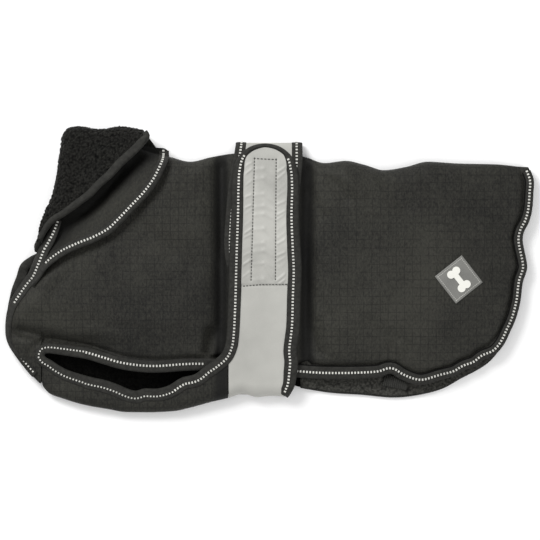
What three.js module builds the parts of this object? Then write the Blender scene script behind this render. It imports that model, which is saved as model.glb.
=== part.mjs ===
// A dog's winter coat for a back of about 400 mm, buckled shut, folded along its spine and laid on its
// right side. The left half of the coat lies uppermost, over the right half.
// Units are millimetres. X runs from the neck to the tail, Y from the belly to the spine, and Z up from
// the surface that the coat lies on, which is Z = 0.
import * as THREE from "three";

// Cloth thicknesses and the clearance between neighbouring pieces.
const COAT_WALL = 3;
const BELT_WALL = 2;
const TAPE_WALL = 1.2;
const COLLAR_FLEECE = 5;
const PRESSED_FLEECE = 4;
const COLLAR_SHELL = 2;
const LINING_WALL = 1.8;
const PATCH_WALL = 0.8;
const LOOP_WALL = 1.2;
const SEAM = 0.5;

// Edge tape, shown width on the upper side.
const TAPE_WIDTH = 11;

// Heights of the folds over the floor.
const SPINE_FOLD_HEIGHT = 7.5;
const NECK_FOLD_HEIGHT = 12;
const BELLY_FOLD_HEIGHT = 7.4;
const NECK_CROWN = 20;
const BELLY_FOLD_RADIUS = 15;

// What the right half of the coat lies on: the right half of the collar and the belt's far side.
const COLLAR_LIFT = PRESSED_FLEECE + 1.1;
const BELT_LIFT = BELT_WALL + 0.6;

// The turned-down collar's section: its outer run, its fold, and the run back into the neck opening, for
// each half. Over the spine the two halves run down and up to meet at closedAt instead.
const COLLAR_LEFT = { run: 34, fold: 25, back: 16.5, closedAt: 14.4, radius: 14 };
const COLLAR_RIGHT = { run: 0, fold: 5.4, back: 10.6, closedAt: 14, radius: 7 };
const COLLAR_RETURN = 13;
const COLLAR_OVER_SPINE = { from: 0.5, over: 0.14 };

// The spine fold, from the neck opening to the tail: where its edge is, seen from above.
const SPINE = [
  { x: -216, y: 139 },
  { x: -200, y: 142 },
  { x: -176, y: 142 },
  { x: -152, y: 138 },
  { x: -132, y: 132 },
  { x: -111, y: 127 },
  { x: -89, y: 122 },
  { x: -66, y: 127 },
  { x: -42, y: 131 },
  { x: -10, y: 133 },
  { x: 22, y: 131 },
  { x: 41, y: 127 },
  { x: 62, y: 120.5 },
  { x: 86, y: 123 },
  { x: 107, y: 118.5 },
  { x: 129, y: 112.5 },
  { x: 153, y: 116 },
  { x: 178, y: 122 },
  { x: 213, y: 120 },
  { x: 255, y: 119 },
  { x: 291, y: 116 },
];

// Height of the coat's upper surface along its length, at the middle of the side.
const CROWN = [
  { x: -300, z: 19 },
  { x: -262, z: 24 },
  { x: -215, z: 27 },
  { x: -150, z: 28 },
  { x: -105, z: 26 },
  { x: -72, z: 20 },
  { x: -52, z: 15 },
  { x: -8, z: 14.6 },
  { x: 38, z: 15 },
  { x: 58, z: 19 },
  { x: 95, z: 24.5 },
  { x: 170, z: 25 },
  { x: 235, z: 20 },
  { x: 275, z: 15.5 },
  { x: 300, z: 14 },
];

// Height of the upper surface along the hem: it gapes at the leg opening.
const HEM_HEIGHT = [
  { x: -300, z: 11 },
  { x: -258, z: 13 },
  { x: -225, z: 16 },
  { x: -150, z: 19 },
  { x: -105, z: 17.5 },
  { x: -72, z: 13.2 },
  { x: -8, z: 12.8 },
  { x: 50, z: 13 },
  { x: 130, z: 14 },
  { x: 230, z: 13 },
  { x: 300, z: 12.5 },
];

// Each half is bounded by a lower edge and an upper edge along X, and by the tail edge. The left half's
// lower edge runs round the throat to the chest seam, up that seam, then along the leg opening, below
// the belt and along the hem.
const CHEST_SEAM = { throatX: -256.8, legX: -256.2, low: -127.4, high: -96.6 };
const LOWER_EDGE = [
  { x: -295.6, y: -74 },
  { x: -292.5, y: -84 },
  { x: -287, y: -93 },
  { x: -279, y: -104 },
  { x: -270, y: -115 },
  { x: -263, y: -122.5 },
  { x: CHEST_SEAM.throatX, y: CHEST_SEAM.low },
  { x: CHEST_SEAM.legX, y: CHEST_SEAM.high },
  { x: -252, y: -92.4 },
  { x: -243, y: -93 },
  { x: -223, y: -96 },
  { x: -205, y: -99 },
  { x: -188, y: -104 },
  { x: -169, y: -109.5 },
  { x: -147, y: -113 },
  { x: -126, y: -114 },
  { x: -89, y: -112 },
  { x: -50, y: -112.5 },
  { x: 0, y: -117 },
  { x: 30, y: -119.5 },
  { x: 61, y: -121.5 },
  { x: 100, y: -121 },
  { x: 124, y: -119 },
  { x: 136, y: -115.5 },
  { x: 146, y: -121 },
  { x: 158, y: -126 },
  { x: 171, y: -128 },
  { x: 193, y: -122 },
  { x: 209, y: -117.5 },
  { x: 219, y: -111.5 },
  { x: 231, y: -107 },
  { x: 240, y: -100 },
  { x: 253, y: -94 },
  { x: 262, y: -84 },
];
const HEM_START = 8;

// Its upper edge: up the neck opening, then the spine fold.
const UPPER_EDGE = [
  { x: -295.6, y: -56 },
  { x: -293.5, y: -44 },
  { x: -289, y: -32 },
  { x: -277, y: -13 },
  { x: -270, y: -4 },
  { x: -263, y: 11 },
  { x: -257, y: 26 },
  { x: -247, y: 42 },
  { x: -239, y: 58 },
  { x: -232, y: 76 },
  { x: -226, y: 98 },
  { x: -221, y: 122 },
  { x: -216, y: 139 },
  ...SPINE.slice(1),
];

// The right half's edges. Its leg opening lies below the chest piece, its hem shows below the left
// half's from the belt to the tail, and its neck edge peeps out at the throat.
const FAR_LOWER_EDGE = [
  { x: -295.4, y: -76 },
  { x: -291, y: -86 },
  { x: -284, y: -97 },
  { x: -272, y: -112 },
  { x: CHEST_SEAM.throatX, y: CHEST_SEAM.low + 1 },
  { x: CHEST_SEAM.legX, y: -101 },
  { x: -246, y: -105 },
  { x: -226, y: -116.5 },
  { x: -201, y: -124 },
  { x: -169, y: -133 },
  { x: -150, y: -139.5 },
  { x: -126, y: -137 },
  { x: -98, y: -124.5 },
  { x: -72, y: -112 },
  { x: -56, y: -101 },
  { x: -44, y: -101 },
  { x: -20, y: -108 },
  { x: 2, y: -120 },
  { x: 35, y: -132 },
  { x: 68, y: -137.5 },
  { x: 105, y: -140 },
  { x: 141, y: -143 },
  { x: 169, y: -140 },
  { x: 195, y: -133 },
  { x: 216, y: -121.5 },
  { x: 236, y: -111 },
  { x: 248, y: -102.5 },
  { x: 262, y: -86 },
];
const FAR_CHEST_INSET = 9;
const FAR_UPPER_EDGE = [
  { x: -295.4, y: -54 },
  { x: -294, y: -40 },
  { x: -290, y: -24 },
  { x: -284, y: -8 },
  { x: -279, y: 6 },
  { x: -269, y: 14 },
  { x: -260, y: 19 },
  { x: -248, y: 33 },
  { x: -241, y: 48 },
  { x: -234, y: 64 },
  { x: -227, y: 86 },
  { x: -222, y: 108 },
  { x: -218, y: 126 },
  { x: -213, y: 139 },
  ...SPINE.slice(1),
];

// The edge over the tail, from the hem up to the spine.
const TAIL_EDGE = [
  { x: 262, y: -84 },
  { x: 270, y: -68 },
  { x: 276, y: -54 },
  { x: 281, y: -35 },
  { x: 283.5, y: -15 },
  { x: 288.5, y: 2 },
  { x: 288, y: 9 },
  { x: 283.5, y: 34 },
  { x: 285, y: 43 },
  { x: 290.5, y: 54 },
  { x: 294, y: 67 },
  { x: 295.6, y: 87 },
  { x: 296, y: 101 },
  { x: 291, y: 116 },
];

// The edge of the chest piece along the leg opening, then up the belt's left side.
const CHEST_EDGE = [
  { x: -254.6, y: -96.6 },
  { x: -246, y: -102 },
  { x: -237, y: -108 },
  { x: -226, y: -113.5 },
  { x: -201, y: -121 },
  { x: -185, y: -124.5 },
  { x: -169, y: -130 },
  { x: -160, y: -134 },
  { x: -150, y: -136.5 },
  { x: -141, y: -134 },
  { x: -126, y: -134 },
  { x: -113, y: -130.5 },
  { x: -98, y: -121.5 },
  { x: -83, y: -117.5 },
  { x: -72, y: -109 },
  { x: -62, y: -102 },
  { x: -53, y: -94 },
];
const BELT_LEFT_EDGE = [
  { x: -48.5, y: -84 },
  { x: -47, y: -74 },
  { x: -45, y: -32 },
  { x: -44, y: 9 },
  { x: -42, y: 60 },
  { x: -41, y: 93 },
];
const TAB_END = [
  { x: -41, y: 93 },
  { x: -38.5, y: 116 },
  { x: -32, y: 129 },
  { x: -20, y: 138 },
  { x: -5, y: 141 },
  { x: 10, y: 138 },
  { x: 22, y: 129 },
  { x: 29.5, y: 115 },
  { x: 32, y: 93 },
];
const BELT_RIGHT_EDGE = [
  { x: 32, y: 93 },
  { x: 32, y: 60 },
  { x: 34, y: 22 },
  { x: 35, y: 0 },
  { x: 34, y: -31 },
  { x: 33, y: -64 },
  { x: 30, y: -91 },
  { x: 31, y: -102 },
  { x: 30, y: -115 },
  { x: 27, y: -130 },
  { x: 23, y: -138 },
];

// The belly fold, along the lower outline: chest piece first, then the belt.
const BELLY_FOLD = [
  { x: -257, y: -128.5 },
  { x: -253, y: -134 },
  { x: -247, y: -139.5 },
  { x: -235, y: -144 },
  { x: -208, y: -152 },
  { x: -180, y: -157 },
  { x: -162, y: -160 },
  { x: -137, y: -160.3 },
  { x: -108, y: -159 },
  { x: -89, y: -155 },
  { x: -67, y: -149 },
  { x: -46, y: -144 },
  { x: -30, y: -139.5 },
  { x: -14, y: -143 },
  { x: 4, y: -141.5 },
  { x: 14, y: -142.5 },
  { x: 40, y: -142.5 },
];

// Height of the chest piece's upper surface along its length, and of the belt's along its own.
const CHEST_CROWN = [
  { x: -258, z: 12.5 },
  { x: -225, z: 14.5 },
  { x: -160, z: 15 },
  { x: -110, z: 17 },
  { x: -80, z: 19.4 },
  { x: -44, z: 20 },
];
const BELT_CROWN = [
  { y: -145, z: 20 },
  { y: -100, z: 20 },
  { y: -60, z: 21.2 },
  { y: 0, z: 21.6 },
  { y: 93, z: 21.2 },
  { y: 118, z: 20.3 },
  { y: 130, z: 18.5 },
  { y: 138, z: 15.8 },
  { y: 141, z: 14.2 },
];

// The back band: the belt's other half. Its end lies below the tab, and it runs over the spine and along
// the floor to the belly fold. Each row is one section across it.
const BACK_BAND = [
  { y: 4, z: 19.1, left: -47, right: 29 },
  { y: 22, z: 19, left: -49.5, right: 30 },
  { y: 40, z: 19, left: -49.5, right: 30.5 },
  { y: 66, z: 18.9, left: -47.5, right: 31 },
  { y: 93, z: 18.7, left: -45, right: 33.5 },
  { y: 110, z: 17.8, left: -42.5, right: 35 },
  { y: 122, z: 16.4, left: -40, right: 36 },
  { y: 131, z: 14.3, left: -38.5, right: 36 },
  { y: 138, z: 11.4, left: -37.5, right: 36 },
  { y: 142, z: 8.6, left: -37, right: 36 },
  { y: 143.6, z: 5.8, left: -37, right: 36 },
  { y: 142, z: 3, left: -37, right: 36 },
  { y: 138, z: 1, left: -37, right: 36 },
  { y: 131, z: 0, left: -37, right: 36 },
  { y: 90, z: 0, left: -38, right: 35 },
  { y: 30, z: 0, left: -40, right: 34 },
  { y: -30, z: 0, left: -41, right: 33 },
  { y: -90, z: 0, left: -43, right: 30 },
  { y: -128, z: 0, left: -44.5, right: 26 },
  { y: -135, z: 0.8, left: -45, right: 20 },
  { y: -138.5, z: 2.6, left: -45.4, right: 18 },
  { y: -140, z: 4.8, left: -45.6, right: 17 },
];

// The fleece collar, turned down: its fold round the neck, then its free edge.
const COLLAR_FOLD = [
  { x: -259.5, y: 31 },
  { x: -256, y: 50 },
  { x: -250, y: 67 },
  { x: -243, y: 82 },
  { x: -238, y: 102 },
  { x: -235, y: 124 },
  { x: -232.5, y: 141 },
  { x: -231, y: 150 },
  { x: -225, y: 157.5 },
  { x: -214, y: 160 },
  { x: -191, y: 156.8 },
  { x: -165, y: 160 },
  { x: -150, y: 158 },
  { x: -141, y: 156 },
];
const COLLAR_FREE_EDGE = [
  { x: -255, y: 33 },
  { x: -248, y: 45 },
  { x: -241, y: 53 },
  { x: -227, y: 61.5 },
  { x: -212, y: 72 },
  { x: -197, y: 83 },
  { x: -188, y: 92.5 },
  { x: -175, y: 104 },
  { x: -163, y: 117 },
  { x: -152, y: 127 },
  { x: -142, y: 137 },
  { x: -134, y: 149 },
];

// The right half's collar lies below the coat. Its free edge is straight.
const HIDDEN_COLLAR_EDGE = [
  { x: -250, y: 4 },
  { x: -206, y: 46 },
  { x: -163, y: 88 },
  { x: -122, y: 130 },
];

// The shell collar below it, turned down too: its wavy free edge, then the edge that the fleece hides.
const SHELL_COLLAR_EDGE = [
  { x: -249, y: 2 },
  { x: -240, y: 9.5 },
  { x: -227, y: 18 },
  { x: -212, y: 25 },
  { x: -193, y: 32.5 },
  { x: -176, y: 42 },
  { x: -165, y: 52.5 },
  { x: -152, y: 66 },
  { x: -136, y: 83 },
  { x: -125, y: 98 },
  { x: -118, y: 112 },
  { x: -114, y: 123 },
  { x: -114, y: 134 },
];
const SHELL_COLLAR_TOP = [
  { x: -114, y: 134 },
  { x: -118, y: 136.5 },
  { x: -128, y: 137.6 },
  { x: -140, y: 140 },
];
const SHELL_COLLAR_INSIDE = [
  { x: -246, y: 26 },
  { x: -228, y: 48 },
  { x: -206, y: 68 },
  { x: -184, y: 92 },
  { x: -162, y: 118 },
  { x: -140, y: 140 },
];

// The largest folds of the upper side: troughs and ridges along straight stretches.
const FOLDS = [
  { x: -276, y: -70, toX: -180, toY: -86, width: 13, rise: -5.5 },
  { x: -64, y: -72, toX: -63, toY: -92, width: 9, rise: -3.5 },
  { x: -150, y: 40, toX: -80, toY: 10, width: 26, rise: -3 },
  { x: -110, y: -60, toX: -78, toY: -20, width: 20, rise: 1.5 },
  { x: 66, y: 116, toX: 104, toY: 88, width: 9, rise: 2 },
  { x: 62, y: 108, toX: 84, toY: 80, width: 10, rise: -2.5 },
  { x: 128, y: 108, toX: 150, toY: 72, width: 16, rise: -3 },
  { x: 96, y: -52, toX: 150, toY: -92, width: 16, rise: -2 },
  { x: 60, y: -92, toX: 54, toY: -60, width: 9, rise: -2.5 },
  { x: 138, y: -110, toX: 146, toY: -86, width: 8, rise: 1.6 },
  { x: 278, y: -8, toX: 252, toY: -4, width: 9, rise: -2.4 },
  { x: 274, y: 36, toX: 252, toY: 44, width: 10, rise: -1.8 },
];

// Small pieces on the coat.
const PATCH = { x: 211.5, y: -10.5, side: 38.6, turn: -0.905 };
const HEM_LOOP = { x: 142, y: -126.5, length: 27, width: 13, turn: -0.2, low: 5.8 };

const clamp = (value, low, high) => Math.min(Math.max(value, low), high);
const mix = (a, b, share) => a + (b - a) * share;
const smooth = (value) => {
  const t = clamp(value, 0, 1);
  return t * t * (3 - 2 * t);
};

// The height of a round-nosed fold, from 0 at its edge to 1 at one radius in from it, and that of an
// edge that only droops.
const rolled = (distance, radius) => Math.sqrt(1 - (1 - clamp(distance / radius, 0, 1)) ** 2);
const drooped = (distance, radius) => 1 - (1 - clamp(distance / radius, 0, 1)) ** 2;

// A smooth reading of a short table between its rows, by a monotone cubic.
function reader(rows, key, value) {
  const slope = rows.map((row, i) => {
    if (i === 0 || i === rows.length - 1) return 0;
    const before = (row[value] - rows[i - 1][value]) / (row[key] - rows[i - 1][key]);
    const after = (rows[i + 1][value] - row[value]) / (rows[i + 1][key] - row[key]);
    return before * after > 0 ? (2 * before * after) / (before + after) : 0;
  });
  return (at) => {
    let i = 0;
    while (i < rows.length - 2 && at > rows[i + 1][key]) i += 1;
    const span = rows[i + 1][key] - rows[i][key];
    const t = clamp((at - rows[i][key]) / span, 0, 1);
    const rise = rows[i + 1][value] - rows[i][value];
    const [a, b] = [slope[i] * span, slope[i + 1] * span];
    return rows[i][value] + a * t + (3 * rise - 2 * a - b) * t * t + (a + b - 2 * rise) * t * t * t;
  };
}

// A smooth plan curve through a table of points, read by the share of its length.
function planCurve(rows) {
  const points = rows.map((row) => new THREE.Vector3(row.x, row.y, 0));
  const curve = new THREE.CatmullRomCurve3(points, false, "centripetal");
  curve.arcLengthDivisions = 400;
  return (share) => curve.getPointAt(clamp(share, 0, 1));
}

// The distance in plan from a point to a table of points joined by straight lines.
function distanceTo(rows) {
  return (x, y) => {
    let best = Infinity;
    for (let i = 0; i < rows.length - 1; i += 1) {
      const [a, b] = [rows[i], rows[i + 1]];
      const [dx, dy] = [b.x - a.x, b.y - a.y];
      const t = clamp(((x - a.x) * dx + (y - a.y) * dy) / (dx * dx + dy * dy), 0, 1);
      best = Math.min(best, Math.hypot(x - a.x - t * dx, y - a.y - t * dy));
    }
    return best;
  };
}

const NECK_EDGE = [...LOWER_EDGE.slice(0, 7).reverse(), ...UPPER_EDGE.slice(0, 13)];
const FAR_NECK_EDGE = [...FAR_LOWER_EDGE.slice(0, 5).reverse(), ...FAR_UPPER_EDGE.slice(0, 14)];
const HEM = LOWER_EDGE.slice(HEM_START);
const fromHem = distanceTo(LOWER_EDGE.slice(HEM_START - 2));

const spineAt = reader(SPINE, "x", "y");
const crownAt = reader(CROWN, "x", "z");
const hemHeightAt = reader(HEM_HEIGHT, "x", "z");
const bellyFoldAt = reader(BELLY_FOLD, "x", "y");
const chestEdgeAt = reader(CHEST_EDGE, "x", "y");
const chestCrownAt = reader(CHEST_CROWN, "x", "z");
const beltCrownAt = reader(BELT_CROWN, "y", "z");
const fromNeckEdge = distanceTo(NECK_EDGE);
const fromFarNeckEdge = distanceTo(FAR_NECK_EDGE);
const fromTailEdge = distanceTo(TAIL_EDGE);
const fromCollarFold = distanceTo(COLLAR_FOLD);
const fromCollarFreeEdge = distanceTo(COLLAR_FREE_EDGE);
const fromShellCollarEdge = distanceTo(SHELL_COLLAR_EDGE);

// How far a point lies towards the neck opening from the line along which the collar is turned down.
const COLLAR_LINE = { x: -114, y: 133, across: -0.7, along: 0.715, low: -12 };
const intoCollar = (x, y) => Math.min(
  (x - COLLAR_LINE.x) * COLLAR_LINE.across + (y - COLLAR_LINE.y) * COLLAR_LINE.along,
  y - COLLAR_LINE.low,
);

// The rise of all folds at a point of the upper side.
function foldsAt(x, y) {
  return FOLDS.reduce((sum, fold) => {
    const [dx, dy] = [fold.toX - fold.x, fold.toY - fold.y];
    const t = clamp(((x - fold.x) * dx + (y - fold.y) * dy) / (dx * dx + dy * dy), 0, 1);
    const away = Math.hypot(x - fold.x - t * dx, y - fold.y - t * dy) / fold.width;
    return sum + fold.rise * Math.exp(-away * away * 2);
  }, 0);
}

// 1 where the belt presses on the coat, 0 beside it.
const underBelt = (x) => smooth((x + 66) / 14) * smooth((56 - x) / 14);

const foldHeightAt = (x) => mix(NECK_FOLD_HEIGHT, SPINE_FOLD_HEIGHT, smooth((x + 165) / 60));

// The upper surface of the left half.
function coatTop(x, y) {
  const neck = smooth((intoCollar(x, y) + 8) / 24);
  const crown = mix(crownAt(x), NECK_CROWN, neck);
  const side = mix(hemHeightAt(x), crown, smooth(fromHem(x, y) / 60));
  const atTail = mix(13, side, smooth(fromTailEdge(x, y) / 46));
  const folded = atTail + foldsAt(x, y) * (1 - neck) * smooth((spineAt(x) - y) / 26);
  const edge = mix(11.6, 14.8, smooth((y + 25) / 50)) + 3.7 * smooth((y - 50) / 40);
  const atNeck = mix(edge, folded, drooped(fromNeckEdge(x, y), 26));
  const foldHeight = foldHeightAt(x);
  const radius = (atNeck - foldHeight) * 1.1 + 2.5 + 9 * underBelt(x);
  return mix(foldHeight, atNeck, rolled(spineAt(x) - y, radius));
}

// The lower surface of the right half: flat on the floor, raised by what lies below it.
function coatBottom(x, y) {
  const collar = COLLAR_LIFT * smooth((intoCollar(x, y) + 22) / 16);
  const rest = Math.max(collar, BELT_LIFT * underBelt(x));
  const throat = 1.7 * (1 - drooped(fromFarNeckEdge(x, y), 12)) * (1 - smooth((y - 10) / 40));
  const lifted = rest + throat;
  const foldHeight = foldHeightAt(x) - SEAM;
  return mix(foldHeight, lifted, rolled(spineAt(x) - y, (foldHeight - lifted) * 1.2 + 1.5));
}

// The upper surface of the chest piece and of the belt, which share the belly fold.
function girthTop(x, y) {
  const crown = mix(chestCrownAt(x), beltCrownAt(y), smooth((x + 60) / 18));
  const radius = Math.min((crown - BELLY_FOLD_HEIGHT) * 1.2 + 1.5, BELLY_FOLD_RADIUS);
  return mix(BELLY_FOLD_HEIGHT, crown, rolled(y - bellyFoldAt(x), radius));
}

// The lower surface of the chest piece's right half.
function chestBottom(x, y) {
  return mix(BELLY_FOLD_HEIGHT - 1.2, 0, rolled(y - bellyFoldAt(x), BELLY_FOLD_RADIUS * 0.6));
}

// How far the shell collar stands off the coat: most along its free edge.
const shellLift = (x, y) => 0.9 + 3.6 * (1 - smooth(fromShellCollarEdge(x, y) / 16));

const even = (count) => Array.from({ length: count + 1 }, (_, i) => i / count);

// Shares from 0 to 1 that crowd towards the ends: each strength from 0, even, to 1, crowded.
function crowded(count, atStart, atEnd) {
  return even(count).map((t) => {
    const start = mix(t, 1 - Math.cos((t * Math.PI) / 2), atStart);
    const end = mix(t, Math.sin((t * Math.PI) / 2), atEnd);
    return mix(start, end, t);
  });
}

// Plan points of one half, in columns from its lower edge to its upper edge. The columns lean over
// towards the tail, and the last ones follow the tail edge.
function halfPlan({ lower, upper, tail, columns, shares }) {
  const [lowerAt, upperAt, tailAt] = [reader(lower, "x", "y"), reader(upper, "x", "y"), planCurve(tail)];
  const [first, last] = [tail[0], tail.at(-1)];
  return columns.map((x) => {
    const topX = x + (last.x - first.x) * smooth((x + 60) / (first.x + 60));
    const [low, high] = [lowerAt(x), upperAt(topX)];
    const follow = smooth((x - 130) / (first.x - 130));
    return shares.map((v) => {
      const side = tailAt(v);
      return {
        x: mix(x, topX, v) + follow * (side.x - mix(first.x, last.x, v)),
        y: mix(low, high, v) + follow * (side.y - mix(first.y, last.y, v)),
      };
    });
  });
}

// Plan points between four edges that meet at the corners.
function patchPlan({ bottom, top, left, right }, shares) {
  const [bottomAt, topAt, leftAt, rightAt] = [bottom, top, left, right].map(planCurve);
  const corner = [bottomAt(0), bottomAt(1), topAt(0), topAt(1)];
  return shares.u.map((u) => shares.v.map((v) => {
    const [b, t, l, r] = [bottomAt(u), topAt(u), leftAt(v), rightAt(v)];
    const blend = (axis) =>
      mix(b[axis], t[axis], v) +
      mix(l[axis], r[axis], u) -
      mix(mix(corner[0][axis], corner[1][axis], u), mix(corner[2][axis], corner[3][axis], u), v);
    return { x: blend("x"), y: blend("y") };
  }));
}

const raised = (plan, height) =>
  plan.map((line) => line.map(({ x, y }) => new THREE.Vector3(x, y, height(x, y))));

// Normals of a grid that is raised by a height: level where a line ends in the spine fold or starts in
// the belly fold.
const onSpine = (p) => p.x > SPINE[0].x - 0.5 && Math.abs(spineAt(p.x) - p.y) < 3;
function heightNormals(grid, height, { foldAt }) {
  return grid.map((line) => line.map((p, j) => {
    const slopeX = (height(p.x + 0.5, p.y) - height(p.x - 0.5, p.y));
    const slopeY = (height(p.x, p.y + 0.5) - height(p.x, p.y - 0.5));
    const isFold = foldAt === "start" ? j === 0 : j === line.length - 1 && onSpine(p);
    const outwards = foldAt === "start" ? -1 : 1;
    return isFold ? new THREE.Vector3(0, outwards, 0) : new THREE.Vector3(-slopeX, -slopeY, 1).normalize();
  }));
}

// Normals of any grid, from its neighbours.
function gridNormals(grid) {
  const [rows, columns] = [grid.length, grid[0].length];
  return grid.map((line, i) => line.map((p, j) => {
    const along = grid[Math.min(i + 1, rows - 1)][j].clone().sub(grid[Math.max(i - 1, 0)][j]);
    const across = line[Math.min(j + 1, columns - 1)].clone().sub(line[Math.max(j - 1, 0)]);
    return along.cross(across).normalize();
  }));
}

// The inner face of a wall, by its thickness along the normals. On gentle slopes it stays straight
// below or above, so that the wall's edges are upright.
function innerFace(grid, normals, thickness) {
  return grid.map((line, i) => line.map((p, j) => {
    const normal = normals[i][j];
    const steep = 1 - smooth((Math.abs(normal.z) - 0.45) / 0.3);
    const step = new THREE.Vector3(normal.x * steep, normal.y * steep, normal.z);
    return p.clone().addScaledVector(step, thickness / step.dot(normal));
  }));
}

// A closed solid from two grids of points, joined round their edges.
function closedGeometry(outer, inner) {
  const [rows, columns] = [outer.length, outer[0].length];
  const positions = [outer, inner].flat(2).flatMap((p) => [p.x, p.y, p.z]);
  const at = (face, i, j) => (face * rows + i) * columns + j;
  const triangles = [];
  const quad = (a, b, c, d) => triangles.push([a, b, c], [a, c, d]);
  for (let i = 0; i < rows - 1; i += 1) {
    for (let j = 0; j < columns - 1; j += 1) {
      quad(at(0, i, j), at(0, i + 1, j), at(0, i + 1, j + 1), at(0, i, j + 1));
      quad(at(1, i, j), at(1, i, j + 1), at(1, i + 1, j + 1), at(1, i + 1, j));
    }
    quad(at(0, i, 0), at(1, i, 0), at(1, i + 1, 0), at(0, i + 1, 0));
    quad(at(0, i + 1, columns - 1), at(1, i + 1, columns - 1), at(1, i, columns - 1), at(0, i, columns - 1));
  }
  for (let j = 0; j < columns - 1; j += 1) {
    quad(at(0, 0, j + 1), at(1, 0, j + 1), at(1, 0, j), at(0, 0, j));
    quad(at(0, rows - 1, j), at(1, rows - 1, j), at(1, rows - 1, j + 1), at(0, rows - 1, j + 1));
  }
  const outwards = signedVolume(positions, triangles) > 0;
  const geometry = new THREE.BufferGeometry();
  geometry.setAttribute("position", new THREE.Float32BufferAttribute(positions, 3));
  geometry.setIndex(triangles.flatMap(([a, b, c]) => (outwards ? [a, b, c] : [a, c, b])));
  geometry.computeVertexNormals();
  return geometry;
}

function signedVolume(positions, triangles) {
  const at = (i) => new THREE.Vector3(...positions.slice(3 * i, 3 * i + 3));
  return triangles.reduce((sum, [a, b, c]) => sum + at(a).dot(at(b).cross(at(c))) / 6, 0);
}

// The height of a grid's own facets at a plan point; beside the grid, that of its nearest point.
function surfaceOf(grid) {
  const triangles = [];
  for (let i = 0; i < grid.length - 1; i += 1) {
    for (let j = 0; j < grid[0].length - 1; j += 1) {
      const [a, b, c, d] = [grid[i][j], grid[i + 1][j], grid[i + 1][j + 1], grid[i][j + 1]];
      triangles.push([a, b, c], [a, c, d]);
    }
  }
  const points = grid.flat();
  return (x, y) => {
    for (const [a, b, c] of triangles) {
      const area = (b.x - a.x) * (c.y - a.y) - (c.x - a.x) * (b.y - a.y);
      const s = ((x - a.x) * (c.y - a.y) - (c.x - a.x) * (y - a.y)) / area;
      const t = ((b.x - a.x) * (y - a.y) - (x - a.x) * (b.y - a.y)) / area;
      if (s >= -1e-6 && t >= -1e-6 && s + t <= 1 + 1e-6) return a.z + (b.z - a.z) * s + (c.z - a.z) * t;
    }
    const away = (p) => (p.x - x) ** 2 + (p.y - y) ** 2;
    return points.reduce((best, p) => (away(p) < away(best) ? p : best)).z;
  };
}

// A plan laid on a surface, clear of it by at least the stated gap between its points too.
function drape(plan, surface, gapAt) {
  const grid = raised(plan, (x, y) => surface(x, y) + gapAt(x, y));
  for (let round = 0; round < 2; round += 1) {
    for (let i = 0; i < grid.length - 1; i += 1) {
      for (let j = 0; j < grid[0].length - 1; j += 1) {
        const cell = [grid[i][j], grid[i + 1][j], grid[i + 1][j + 1], grid[i][j + 1]];
        const shorts = even(5).flatMap((s) => even(5).map((t) => {
          const p = cell[0].clone().lerp(cell[1], s).lerp(cell[3].clone().lerp(cell[2], s), t);
          return surface(p.x, p.y) + SEAM * 0.8 - p.z;
        }));
        const short = Math.max(...shorts);
        if (short > 0) cell.forEach((p) => { p.z += short; });
      }
    }
  }
  return grid;
}

const lifted = (grid, rise) => grid.map((line) => line.map((p) => new THREE.Vector3(p.x, p.y, p.z + rise)));

// The plan of an edge tape: a strip beside a curve, on its left hand or its right hand. It keeps its
// full width round bends.
const LEFT_HAND = 1;
const RIGHT_HAND = -1;
function tapePlan(rows, { side, width = TAPE_WIDTH, step = 9.5, across = 2 }) {
  const points = rows.map((row) => new THREE.Vector3(row.x, row.y, 0));
  const curve = new THREE.CatmullRomCurve3(points, false, "centripetal");
  curve.arcLengthDivisions = 600;
  return even(Math.round(curve.getLength() / step)).map((t) => {
    const [p, tangent] = [curve.getPointAt(t), curve.getTangentAt(t)];
    const beside = new THREE.Vector3(-tangent.y, tangent.x, 0).multiplyScalar(side * width);
    return even(across).map((share) => p.clone().addScaledVector(beside, share));
  });
}

// The colours and finishes of the cloths.
const cloth = (color, roughness) => new THREE.MeshStandardMaterial({ color, roughness, metalness: 0 });
const RIPSTOP = cloth(0x33332f, 0.85);
const TAPE = cloth(0x2a2a28, 0.9);
const REFLECTIVE = cloth(0xc2c4b9, 0.6);
const FLEECE = cloth(0x232322, 1);
const PATCH_CLOTH = cloth(0x8a8b86, 0.6);
const WEBBING = cloth(0x3a3936, 0.85);

const coat = new THREE.Group();

function addPiece(name, geometry, material) {
  const piece = new THREE.Mesh(geometry, material);
  piece.name = name;
  coat.add(piece);
}

// A piece of constant wall over a grid; turn is -1 where the wall lies below the grid's normals.
function addWall(name, grid, normals, thickness, turn, material) {
  const inner = innerFace(grid, normals, thickness * turn);
  addPiece(name, closedGeometry(grid, inner), material);
  return inner;
}

function addDraped(name, plan, surface, thickness, material, gapAt = () => SEAM) {
  const low = drape(plan, surface, gapAt);
  addPiece(name, closedGeometry(lifted(low, thickness), low), material);
  return lifted(low, thickness);
}

// The columns of a half: set by hand round the throat and the chest seam, then even.
const THROAT_COLUMNS = [-290.5, -284, -277, -270, -263.5];
const SEAM_COLUMNS = [CHEST_SEAM.throatX, CHEST_SEAM.legX, -252];
// The left half is joined below the belt, where neither edge shows.
const LEFT_JOIN = { front: -8.2, rear: -7.8 };
const evenColumns = (from, to, count) => even(count).map((t) => mix(from, to, t));

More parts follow.
